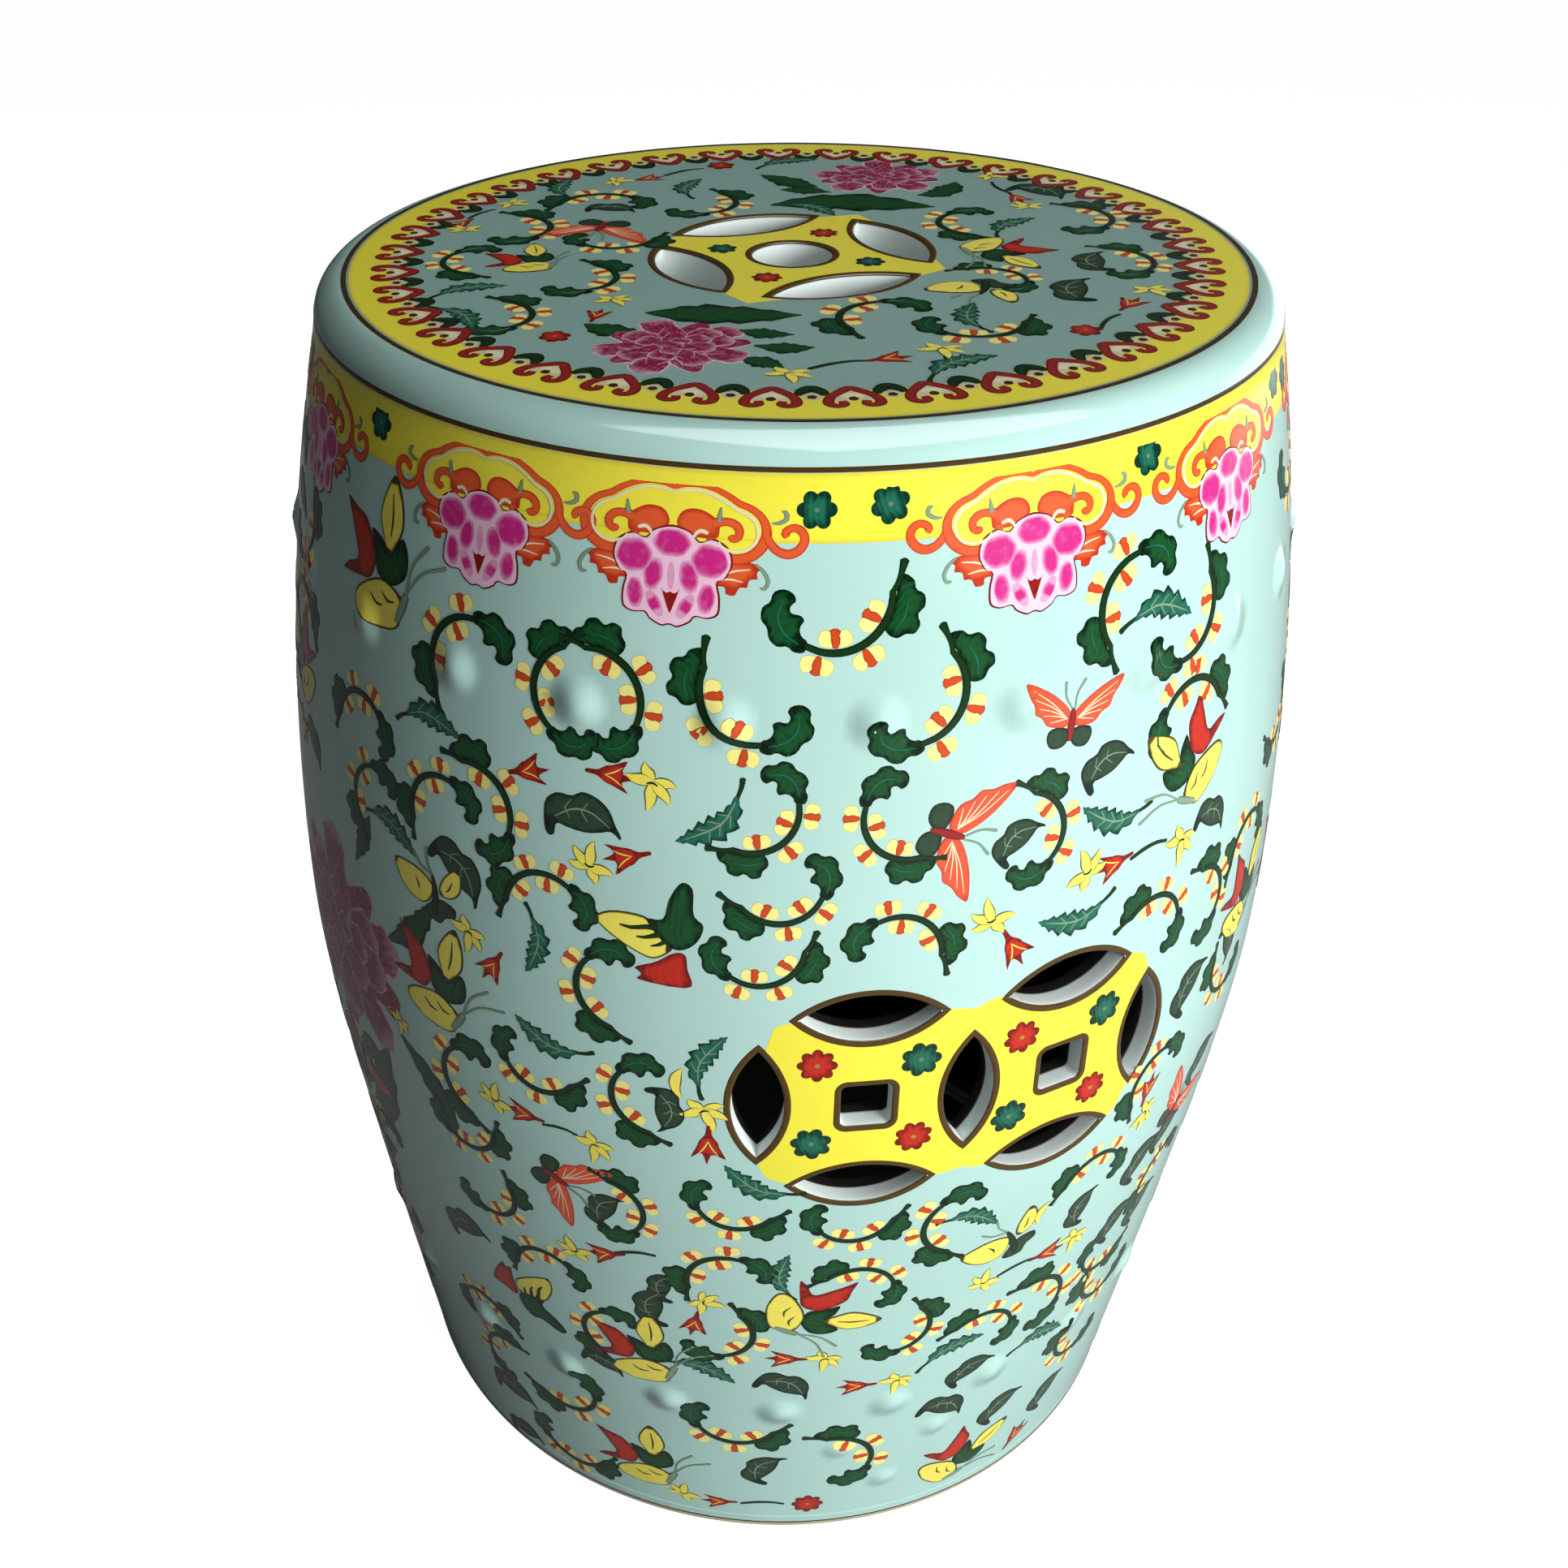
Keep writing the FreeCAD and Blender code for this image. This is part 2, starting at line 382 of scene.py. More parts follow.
def roundedThrough(edge, depth):
    # Profile of a hole's wall: a quarter round in, a straight run, a quarter round out, as (grow, depth).
    bend = np.linspace(0.0, 0.5 * math.pi, 5)
    into = np.stack([edge - edge * np.sin(bend), edge - edge * np.cos(bend)], axis=-1)
    straight = np.stack([np.zeros(4), np.linspace(edge, depth - edge, 6)[1:-1]], axis=-1)
    out = np.stack([into[::-1, 0], depth - into[::-1, 1]], axis=-1)
    return np.concatenate([into, straight, out])


def fillBetween(loops, scattered, keep):
    # Constrained triangulation of the loops and loose points; keep chooses triangles by their middles.
    edges, first = [], 0
    for loop in loops:
        edges.append(ringEdges(len(loop)) + first)
        first += len(loop)
    flat, faces = triangulate(np.concatenate(loops + [scattered]), np.concatenate(edges), 0, 1e-5)
    faces, area = facingUp(flat, faces[keep(flat[faces].mean(axis=1))])
    return flat, faces[area > 1e-7]


# ---- the clay and glaze skins

# Painted shade: skins with this mark, the inside taken as unglazed, are painted nearly black for the shade inside the
# stool.
insideShadeMark = 2.0     # mark of the unglazed inside
holeSlack = 0.35   # triangles are kept when their middle is outside a hole moved out by its edge less this


def barrelSkin(low, high, pierced=False):
    # One thrown section: outer and inner skins, the pierced panels, and a flat edge above and below.
    heap = Heap()
    azimuths = np.linspace(-180.0, 180.0, barrel["columns"], endpoint=False)
    heights = np.linspace(low, high, 2 * round(0.5 * (high - low) / barrel["rowHeight"]) + 1)
    for inner in (False, True):
        step = 2 if inner else 1
        columns, levels = azimuths[::step], heights[::step]
        azimuth, z = np.meshgrid(columns, levels)
        quads = gridFaces(len(levels), len(columns))
        if pierced:
            middleZ = z.ravel()[quads].mean(axis=1)
            aim = azimuth.ravel()[quads[:, 0]] + 0.5 * (columns[1] - columns[0])
            for centre in panel["azimuths"]:
                off = np.abs((aim - centre + 180.0) % 360.0 - 180.0)
                keep = (off >= panel["halfWidth"]) | (middleZ <= panel["low"]) | (middleZ >= panel["high"])
                quads, middleZ, aim = quads[keep], middleZ[keep], aim[keep]
        if inner:
            heap.add(innerPoint(azimuth, z), quads[:, ::-1], None, np.full(z.size, insideShadeMark))
        else:
            heap.add(wallPoint(azimuth, z), quads, wallNormal(azimuth, z))
        if pierced:
            for centre in panel["azimuths"]:
                piercedWall(heap, centre, columns, levels, inner)
    # the two edges of the clay, each one flat ring
    for z, upward in ((low, False), (high, True)):
        ring = gridFaces(2, len(azimuths))
        points = np.concatenate([wallPoint(azimuths, z), innerPoint(azimuths, z)])
        heap.add(points, ring if upward else ring[:, ::-1])
    return heap


def innerPoint(azimuth, z):
    # On the wall's inner side, one thickness in from the glaze without its studs.
    return aroundAxis(wallRadius(z) - barrel["wall"], azimuth, z)


def piercedWall(heap, centre, columns, levels, inner):
    # The wall round one panel: rounded rims and walls of the holes, and skin filled between them.
    radius = barrel["bellyRadius"]
    pitch = columns[1] - columns[0]
    half = panel["halfWidth"]
    across = np.round(np.arange(-half, half + 0.5 * pitch, pitch) / pitch) * pitch
    middles = 0.5 * (levels[1:] + levels[:-1])
    taken = np.nonzero((middles > panel["low"]) & (middles < panel["high"]))[0]
    up = levels[taken[0]:taken[-1] + 2]
    frameLoop = np.concatenate([
        np.stack([across, np.full(across.shape, up[0])], axis=-1)[:-1],
        np.stack([np.full(up.shape, across[-1]), up], axis=-1)[:-1],
        np.stack([across[::-1], np.full(across.shape, up[-1])], axis=-1)[:-1],
        np.stack([np.full(up.shape, across[0]), up[::-1]], axis=-1)[:-1]])
    frameLoop[:, 0] *= math.radians(1.0) * radius
    edge = panel["edge"]
    loops = [frameLoop] + [unrolled(throughWall(hole, 0.0, sideHoleOutline(hole, edge), 1.0 if inner else 0.0))
                           for hole in sideHoles]
    loose = gridPoints(across[1:-1] * math.radians(1.0) * radius, up[1:-1])

    def clear(points, grow):
        return clearOfSideHoles(points - [0.0, panel["height"]], grow)

    loose = loose[clear(loose, edge + panel["gap"])]
    flat, faces = fillBetween(loops, loose, lambda middle: clear(middle, edge - holeSlack))
    azimuth, z = np.degrees(flat[:, 0] / radius) + centre, flat[:, 1]
    if inner:
        heap.add(innerPoint(azimuth, z), faces[:, ::-1], None, np.full(len(flat), insideShadeMark))
        return
    heap.add(wallPoint(azimuth, z), faces, wallNormal(azimuth, z))
    profile = roundedThrough(edge, barrel["wall"])
    for hole in sideHoles:
        rows = np.stack([throughWall(hole, centre, sideHoleOutline(hole, grow), depth / barrel["wall"])
                         for grow, depth in profile])
        heap.add(rows, gridFaces(len(profile), holePoints), None, cutMarks(profile, panel))


def cutMarks(profile, sizes):
    # 0 on the outer skin, 1 from a rim's rounding into the hole, and growing further in to the inside's mark, which
    # is painted shade.
    depth = profile[:, 1]
    dark = (depth - sizes["shadeFrom"]) / (sizes["shadeTo"] - sizes["shadeFrom"])
    return np.repeat(np.clip(depth / sizes["edge"], 0.0, 1.0) + np.clip(dark, 0.0, 1.0), holePoints)


seatHoles = [("round", 0.0)] + [("seat", seat["turn"] + 90.0 * k) for k in range(4)]


def seatHoleOutline(hole, grow):
    if hole[0] == "round":
        return roundOutline(seat["hole"], grow, holePoints)
    shape = turned(lensOutline(seat["lensLength"], seat["lensWidth"], grow, holePoints), 90.0)
    return turned(shape + np.array([seat["lensShift"], 0.0]), hole[1])


def clearOfSeatHoles(points, grow):
    free = np.ones(len(points), bool)
    for kind, turn in seatHoles:
        if kind == "round":
            free &= ~insideHole("round", points[:, 0], points[:, 1], grow)
        else:
            local = turned(points, -turn) - np.array([seat["lensShift"], 0.0])
            free &= ~insideHole("seat", local[:, 1], local[:, 0], grow)
    return free


def turnedProfile(radii, levels, turn):
    # A profile spun round the axis, one ring of points for each of its own.
    return np.stack([radii[:, None] * np.cos(turn), radii[:, None] * np.sin(turn),
                     np.repeat(levels[:, None], len(turn), axis=1)], axis=-1)


def seatSkin():
    # A level middle filled between the holes, the holes' walls, and a profile from there out over the shoulder,
    # down the rim, in under it and back along the core.
    heap = Heap()
    b, s = barrel, seat
    edge, patchRadius = s["edge"], s["patch"]
    top, under = b["height"] - b["inset"], b["height"] - s["core"]
    turn = np.linspace(0.0, 2.0 * math.pi, s["columns"], endpoint=False)
    rim = patchRadius * np.stack([np.cos(turn), np.sin(turn)], axis=-1)
    steps = np.arange(-patchRadius, patchRadius, s["patchSpacing"])
    loose = gridPoints(steps, steps)
    loose = loose[np.hypot(loose[:, 0], loose[:, 1]) < patchRadius - 0.5 * s["patchSpacing"]]
    loose = loose[clearOfSeatHoles(loose, edge + s["gap"])]

    def keep(middle):
        onPatch = np.hypot(middle[:, 0], middle[:, 1]) < patchRadius - 0.01
        return clearOfSeatHoles(middle, edge - holeSlack) & onPatch

    flat, faces = fillBetween([rim] + [seatHoleOutline(hole, edge) for hole in seatHoles], loose, keep)
    up = np.tile([0.0, 0.0, 1.0], (len(flat), 1))
    heap.add(np.column_stack([flat, np.full(len(flat), top)]), faces, up)
    heap.add(np.column_stack([flat, np.full(len(flat), under)]), faces[:, ::-1], -up, np.full(len(flat), insideShadeMark))
    profile = roundedThrough(edge, top - under)
    for hole in seatHoles:
        rows = np.stack([np.column_stack([seatHoleOutline(hole, grow), np.full(holePoints, top - down)])
                         for grow, down in profile])
        heap.add(rows, gridFaces(len(profile), holePoints), None, cutMarks(profile, s))
    flatRows, bendRows = s["flatRows"], s["bendRows"]
    lean = np.linspace(0.0, 0.5 * math.pi, bendRows + 1)[1:]
    flatRadius = b["collarRadius"] - b["shoulderRound"]
    reach = b["shoulderRound"] - b["inset"]
    radii = np.concatenate([np.linspace(patchRadius, flatRadius, flatRows), flatRadius + reach * np.sin(lean),
                            [b["collarRadius"] - b["inset"], s["coreRadius"], s["coreRadius"], patchRadius]])
    levels = np.concatenate([np.full(flatRows, top), top - reach * (1.0 - np.cos(lean)),
                             [b["collar"], b["collar"], under, under]])
    points = turnedProfile(radii, levels, turn)
    normals = np.full(points.shape, np.nan)
    normals[:flatRows] = [0.0, 0.0, 1.0]
    normals[flatRows:flatRows + bendRows] = turnedProfile(np.sin(lean), np.cos(lean), turn)
    heap.add(points, gridFaces(len(radii), len(turn))[:, ::-1], normals)
    return heap


def footSkin():
    # One closed profile turned round the axis: down the foot's side, under it, up inside, back along the top.
    heap = Heap()
    b, f = barrel, footRing
    side = np.linspace(b["foot"], f["round"], 6)
    bend = np.linspace(0.0, 0.5 * math.pi, 7)[1:]
    base = float(wallRadius(f["round"]))
    core = float(wallRadius(b["foot"])) - b["wall"]
    bore, lip, top = f["inner"], core - f["upstandWidth"], b["foot"] + f["upstand"]
    radii = np.concatenate([wallRadius(side), base - f["round"] * (1.0 - np.cos(bend)),
                            [bore + 1.2, bore + 0.35, bore, bore, lip, lip, core, core]])
    levels = np.concatenate([side, f["round"] * (1.0 - np.sin(bend)),
                             [0.0, 0.35, 1.2, b["foot"], b["foot"], top, top, b["foot"]]])
    turn = np.linspace(0.0, 2.0 * math.pi, f["columns"], endpoint=False)
    # The foot's bore and the stool's inside take the inside's mark: painted nearly black as shade.
    inside = (radii < bore + 0.5) | (levels > b["foot"] + 0.1)
    heap.add(turnedProfile(radii, levels, turn), tubeFaces(len(radii), len(turn))[:, ::-1], None,
             np.repeat(np.where(inside, insideShadeMark, 0.0), len(turn)))
    return heap


# ---- camera, light and floor

def lookFrom():
    # The camera, matched to the photo.
    data = bpy.data.cameras.new("camera")
    camera = bpy.data.objects.new("camera", data)
    bpy.context.scene.collection.objects.link(camera)
    camera.location = view["place"]
    camera.rotation_euler = [math.radians(v) for v in view["turn"]]
    data.sensor_width = 36.0
    data.lens = view["lens"]
    data.shift_x, data.shift_y = view["shift"]
    data.clip_start, data.clip_end = 0.01, 50.0
    bpy.context.scene.camera = camera


def softLight(name, azimuth, elevation, distance, size, watts, hidden):
    # A rectangular lamp on a ball round the stool, turned to its middle and kept out of one kind of ray.
    data = bpy.data.lights.new(name, "AREA")
    data.shape = "RECTANGLE"
    data.size, data.size_y = size
    data.energy = watts
    lamp = bpy.data.objects.new(name, data)
    a, e = math.radians(azimuth), math.radians(elevation)
    away = Vector((math.sin(a) * math.cos(e), -math.cos(a) * math.cos(e), math.sin(e))) * distance
    lamp.location = away + Vector(studio["aim"])
    lamp.rotation_mode = "QUATERNION"
    lamp.rotation_quaternion = away.to_track_quat("Z", "Y")
    lamp.visible_glossy = hidden != "glossy"
    lamp.visible_diffuse = hidden != "diffuse"
    bpy.context.scene.collection.objects.link(lamp)


# ---- finishes

def srgb(red, green, blue):
    # Screen values 0-255 to the linear colour that Blender works in.
    c = np.array([red, green, blue]) / 255.0
    c = np.where(c <= 0.04045, c / 12.92, ((c + 0.055) / 1.055) ** 2.4)
    return (float(c[0]), float(c[1]), float(c[2]), 1.0)


def feed(tree, socket, value):
    # Sets a socket to a number or a colour, or links another socket to it.
    if isinstance(value, (int, float, tuple)):
        socket.default_value = value
    else:
        tree.links.new(value, socket)


def newGroup(name, inputs, outputs):
    # A shader node group with named inputs, colours where the value is a tuple and numbers otherwise.
    group = bpy.data.node_groups.new(name, "ShaderNodeTree")
    for label, value in inputs.items():
        kind = "NodeSocketColor" if isinstance(value, tuple) else "NodeSocketFloat"
        group.interface.new_socket(label, in_out="INPUT", socket_type=kind).default_value = value
    for label, kind in outputs.items():
        group.interface.new_socket(label, in_out="OUTPUT", socket_type="NodeSocket" + kind)
    return group, group.nodes.new("NodeGroupInput").outputs, group.nodes.new("NodeGroupOutput").inputs


def mathNode(tree, operation, *values, clamp=False):
    # One Math node; the values are sockets or numbers. Gives back its output socket.
    node = tree.nodes.new("ShaderNodeMath")
    node.operation = operation
    node.use_clamp = clamp
    for socket, value in zip(node.inputs, values):
        feed(tree, socket, value)
    return node.outputs[0]


def reachNode(tree, place, weights):
    # Length of a place vector after its three parts are weighted.
    weighted = tree.nodes.new("ShaderNodeVectorMath")
    weighted.operation = "MULTIPLY"
    feed(tree, weighted.inputs[0], place)
    feed(tree, weighted.inputs[1], weights)
    length = tree.nodes.new("ShaderNodeVectorMath")
    length.operation = "LENGTH"
    feed(tree, length.inputs[0], weighted.outputs[0])
    return length.outputs["Value"]


def blendNode(tree, share, first, second):
    # Mixes two colours by a share.
    node = tree.nodes.new("ShaderNodeMix")
    node.data_type = "RGBA"
    for socket, value in ((node.inputs[0], share), (node.inputs[6], first), (node.inputs[7], second)):
        feed(tree, socket, value)
    return node.outputs[2]


def noiseNode(tree, place, scale, detail):
    node = tree.nodes.new("ShaderNodeTexNoise")
    for label, value in (("Vector", place), ("Scale", scale), ("Detail", detail)):
        feed(tree, node.inputs[label], value)
    return node.outputs["Fac"]


def bumpNode(tree, height, strength, distance):
    node = tree.nodes.new("ShaderNodeBump")
    for label, value in (("Height", height), ("Strength", strength), ("Distance", distance)):
        feed(tree, node.inputs[label], value)
    return node


# Noise scales and bump depths of both groups, the roughness that bare clay adds, and how fast the painted shade deep
# in a hole darkens the glaze.
grain = {
    "blotchDetail": 3.0, "smear": 38.0, "ripple": 26.0, "rippleDepth": 0.0025, "pits": 900.0, "pitDepth": 0.00006,
    "clayHaze": 0.5, "shadeStart": 1.4, "shadeSlope": 4.0, "streaks": 420.0, "skin": 500.0, "skinStrength": 0.12,
    "skinDepth": 0.0002, "ribs": 44.0, "ribSlant": -7.0, "lines": 9.4,
}


def makeGlazeGroup():
    # Fired glaze: colour pools in slow blotches, the skin ripples, and fine pits prick it. Cut clay (mark 1) shows
    # paler and duller, partly the cut's own paler colour and partly painted light; deeper in, and on the inside
    # (mark 2), painted shade darkens it nearly to black. Inside the middle radius round the axis a darker middle
    # colour takes over, as painted shade on the seat's level top. Below the clay height the foot is bare and rough.
    grey = (0.8, 0.8, 0.8, 1.0)
    group, given, made = newGroup("firedGlaze", {
        "Colour": grey, "Pool Colour": grey, "Pooling": 0.5, "Blotch Scale": 12.0,
        "Cut Colour": grey, "Cut Haze": 0.0, "Inside Shade Colour": grey,
        "Ripple": 0.1, "Pits": 0.1, "Gloss": 0.1, "Haze": 0.04,
        "Middle Shade Colour": grey, "Middle Radius": 0.0, "Clay Colour": grey, "Clay Height": 0.0,
    }, {"Colour": "Color", "Roughness": "Float", "Normal": "Vector"})
    place = group.nodes.new("ShaderNodeTexCoord").outputs["Object"]
    blotch = noiseNode(group, place, given["Blotch Scale"], grain["blotchDetail"])
    blotch = mathNode(group, "MULTIPLY_ADD", blotch, 3.0, -1.0, clamp=True)
    share = mathNode(group, "MULTIPLY", blotch, given["Pooling"])
    colour = blendNode(group, share, given["Colour"], given["Pool Colour"])
    # Painted shade: inside the middle radius the darker middle colour stands in for the dimmer light on the seat's
    # level top.
    within = mathNode(group, "LESS_THAN", reachNode(group, place, (1.0, 1.0, 0.0)), given["Middle Radius"])
    colour = blendNode(group, within, colour, given["Middle Shade Colour"])
    height = group.nodes.new("ShaderNodeSeparateXYZ")
    feed(group, height.inputs[0], place)
    bare = mathNode(group, "LESS_THAN", height.outputs["Z"], given["Clay Height"])
    colour = blendNode(group, bare, colour, given["Clay Colour"])
    # Painted light and shade on the holes: mark 1 turns the cut walls pale, partly painted light; beyond it, and on
    # the inside, painted shade darkens them.
    mark = group.nodes.new("ShaderNodeAttribute")
    mark.attribute_name = "cutWall"
    pale = mathNode(group, "MINIMUM", mark.outputs["Fac"], 1.0)
    dark = mathNode(group, "SUBTRACT", mark.outputs["Fac"], grain["shadeStart"])
    dark = mathNode(group, "MULTIPLY", dark, grain["shadeSlope"], clamp=True)
    colour = blendNode(group, pale, colour, given["Cut Colour"])
    feed(group, made["Colour"], blendNode(group, dark, colour, given["Inside Shade Colour"]))
    haze = mathNode(group, "MULTIPLY", noiseNode(group, place, grain["smear"], 1.0), given["Haze"])
    haze = mathNode(group, "ADD", haze, mathNode(group, "MULTIPLY", pale, given["Cut Haze"]))
    haze = mathNode(group, "ADD", haze, mathNode(group, "MULTIPLY", bare, grain["clayHaze"]))
    feed(group, made["Roughness"], mathNode(group, "ADD", haze, given["Gloss"]))
    ripple = bumpNode(group, noiseNode(group, place, grain["ripple"], 1.0), given["Ripple"], grain["rippleDepth"])
    pits = bumpNode(group, noiseNode(group, place, grain["pits"], 1.0), given["Pits"], grain["pitDepth"])
    feed(group, pits.inputs["Normal"], ripple.outputs["Normal"])
    feed(group, made["Normal"], pits.outputs["Normal"])
    return group


def makeEnamelGroup():
    # Painted enamel. Cells run 0-1 along a shape and 0-1 from its middle to its edge: the rim and the tip take
    # the second colour, and so do cross ribs, lines along the shape, and streaks of the brush.
    grey = (0.8, 0.8, 0.8, 1.0)
    group, given, made = newGroup("brushedEnamel", {
        "Middle": grey, "Rim": grey, "Rim Start": 0.4, "Rim End": 1.0,
        "Tip": 0.0, "Ribs": 0.0, "Lines": 0.0, "Streaks": 0.2,
    }, {"Colour": "Color", "Normal": "Vector"})
    cells = group.nodes.new("ShaderNodeUVMap")
    cells.uv_map = "OFBake"
    split = group.nodes.new("ShaderNodeSeparateXYZ")
    feed(group, split.inputs[0], cells.outputs["UV"])
    along, off = split.outputs["X"], split.outputs["Y"]

    def ramp(value, start, end):
        node = group.nodes.new("ShaderNodeMapRange")
        node.interpolation_type = "SMOOTHSTEP"
        for label, number in (("Value", value), ("From Min", start), ("From Max", end)):
            feed(group, node.inputs[label], number)
        return node.outputs["Result"]

    place = group.nodes.new("ShaderNodeTexCoord").outputs["Object"]
    reach = ramp(off, given["Rim Start"], given["Rim End"])
    tip = mathNode(group, "MULTIPLY", ramp(along, 0.5, 1.0), given["Tip"])
    streak = mathNode(group, "SUBTRACT", noiseNode(group, place, grain["streaks"], 2.0), 0.5)
    streak = mathNode(group, "MULTIPLY", streak, given["Streaks"])
    slant = mathNode(group, "MULTIPLY", off, grain["ribSlant"])
    rib = mathNode(group, "ADD", mathNode(group, "MULTIPLY", along, grain["ribs"]), slant)
    rib = mathNode(group, "MULTIPLY", mathNode(group, "SINE", rib), given["Ribs"])
    line = mathNode(group, "COSINE", mathNode(group, "MULTIPLY", off, grain["lines"]))
    line = mathNode(group, "MULTIPLY", ramp(mathNode(group, "ABSOLUTE", line), 0.8, 0.97), given["Lines"])
    share = mathNode(group, "ADD", reach, tip)
    share = mathNode(group, "ADD", share, streak)
    share = mathNode(group, "ADD", share, line)
    share = mathNode(group, "ADD", share, rib, clamp=True)
    feed(group, made["Colour"], blendNode(group, share, given["Middle"], given["Rim"]))
    skin = bumpNode(group, noiseNode(group, place, grain["skin"], 2.0), grain["skinStrength"], grain["skinDepth"])
    feed(group, made["Normal"], skin.outputs["Normal"])
    return group


def makeMaterial(name, group, values, roughness=None):
    # A Principled shader fed by one group; values set the group's named inputs. A group that gives no roughness
    # leaves it to the number.
    material = bpy.data.materials.new(name)
    material.use_nodes = True
    tree = material.node_tree
    shader = tree.nodes["Principled BSDF"]
    node = tree.nodes.new("ShaderNodeGroup")
    node.node_tree = group
    for label, value in values.items():
        node.inputs[label].default_value = value
    feed(tree, shader.inputs["Base Color"], node.outputs["Colour"])
    feed(tree, shader.inputs["Normal"], node.outputs["Normal"])
    feed(tree, shader.inputs["Roughness"], node.outputs["Roughness"] if roughness is None else roughness)
    return material


glazeGroup = makeGlazeGroup()
# The cut colour is partly the cut's own paler colour and partly painted light on the holes' walls; the inside colour
# is painted shade, nearly black.
glazeLook = {
    "Colour": srgb(185, 224, 216), "Pool Colour": srgb(176, 215, 206), "Cut Colour": srgb(242, 253, 249),
    "Cut Haze": 0.3, "Inside Shade Colour": srgb(34, 33, 30), "Pooling": 0.8, "Blotch Scale": 9.0, "Ripple": 0.05,
    "Pits": 0.15, "Gloss": 0.09, "Haze": 0.06}
enamelGroup = makeEnamelGroup()

celadonGlaze = makeMaterial("celadonGlaze", glazeGroup, glazeLook)
# Painted shade: inside the brown ring the seat's level top is painted darker and greyer, for the dimmer light it
# gets.
seatShadeLook = {"Middle Shade Colour": srgb(148, 184, 176), "Middle Radius": 0.1464}
seatGlaze = makeMaterial("seatGlaze", glazeGroup, {**glazeLook, **seatShadeLook})
# The glaze runs down over the foot and stops short of the floor.
footLook = {"Clay Colour": srgb(198, 188, 162), "Clay Height": 0.0035}
footClay = makeMaterial("footClay", glazeGroup, {**glazeLook, **footLook})
enamelRoughness = 0.22


def enamelPaint(name, middle, rim, start, end, tip=0.0, ribs=0.0, lines=0.0, streaks=0.25):
    # Colours of a shape's middle and rim; the blend from one to the other starts and ends at these cells.
    return makeMaterial(name, enamelGroup, {
        "Middle": srgb(*middle), "Rim": srgb(*rim), "Rim Start": start, "Rim End": end,
        "Tip": tip, "Ribs": ribs, "Lines": lines, "Streaks": streaks}, enamelRoughness)


# Each paint: piece name, slot, material.
palette = {
    "yellowGround": ("yellow_borders", "enamel_yellow",
                     enamelPaint("borderYellow", (248, 238, 72), (234, 212, 56), 0.8, 1.0, streaks=0.5)),
    "cloudScrolls": ("cloud_scrolls", "enamel_red",
                     enamelPaint("cloudRed", (230, 94, 50), (186, 48, 24), 0.45, 1.0, streaks=0.5)),
    "pinkPetals": ("lappet_petals", "enamel_pink",
                   enamelPaint("petalPink", (206, 42, 134), (246, 202, 227), 0.32, 0.95, streaks=0.4)),
    "peonyPetals": ("peony_petals", "enamel_pink",
                    enamelPaint("peonyPink", (144, 20, 66), (238, 200, 218), 0.78, 0.95, tip=0.45, lines=0.1,
                                streaks=0.7)),
    "deepRed": ("deep_red_arches", "enamel_red", enamelPaint("deepRed", (150, 36, 34), (96, 18, 20), 0.4, 1.0)),
    "creamLines": ("cream_lines", "enamel_white",
                   enamelPaint("creamWhite", (240, 232, 196), (214, 204, 160), 0.4, 1.0)),
    "creamBeads": ("cream_beads", "enamel_white",
                   enamelPaint("beadCream", (254, 245, 146), (112, 82, 30), 0.78, 0.92)),
    "redBands": ("bead_bands", "enamel_red", enamelPaint("bandRed", (206, 76, 36), (150, 40, 20), 0.5, 1.0)),
    "greenStems": ("dark_stems", "enamel_green", enamelPaint("stemGreen", (22, 54, 22), (8, 26, 10), 0.3, 1.0)),
    "greenLeaves": ("green_leaves", "enamel_green",
                    enamelPaint("leafGreen", (22, 80, 40), (6, 28, 12), 0.45, 0.95, ribs=0.22, streaks=0.9)),
    "greyTails": ("grey_green_lines", "enamel_teal",
                  enamelPaint("lineGrey", (136, 160, 136), (92, 118, 96), 0.3, 1.0)),
    "tealLeaves": ("teal_leaves", "enamel_teal",
                   enamelPaint("leafTeal", (34, 108, 84), (8, 50, 38), 0.45, 0.95, ribs=0.2, streaks=0.8)),
    "greyLeaves": ("grey_pods", "enamel_teal",
                   enamelPaint("podGrey", (46, 70, 50), (16, 32, 20), 0.55, 0.95, ribs=0.1, streaks=0.9)),
    "yellowPetals": ("yellow_petals", "enamel_yellow",
                     enamelPaint("petalYellow", (252, 238, 100), (66, 52, 16), 0.7, 0.86)),
    "redPetals": ("red_petals", "enamel_red",
                  enamelPaint("petalRed", (198, 46, 30), (112, 18, 12), 0.5, 1.0, ribs=0.12, streaks=0.5)),
    "orangeWings": ("moth_wings", "enamel_red",
                    enamelPaint("wingOrange", (232, 88, 56), (150, 34, 20), 0.55, 1.0, streaks=0.5)),
    "brownLines": ("brown_outlines", "enamel_brown", enamelPaint("lineBrown", (82, 60, 24), (54, 38, 14), 0.4, 1.0)),
}


# ---- brushwork: every painted shape is a thin closed body laid on the glaze

# Heights above the glaze, millimetres. A shape's own edge dips to "under".
layers = {"under": -0.12, "ground": 0.06, "low": 0.11, "fill": 0.15, "line": 0.17, "detail": 0.19, "lapped": 0.21,
          "over": 0.23, "top": 0.27}


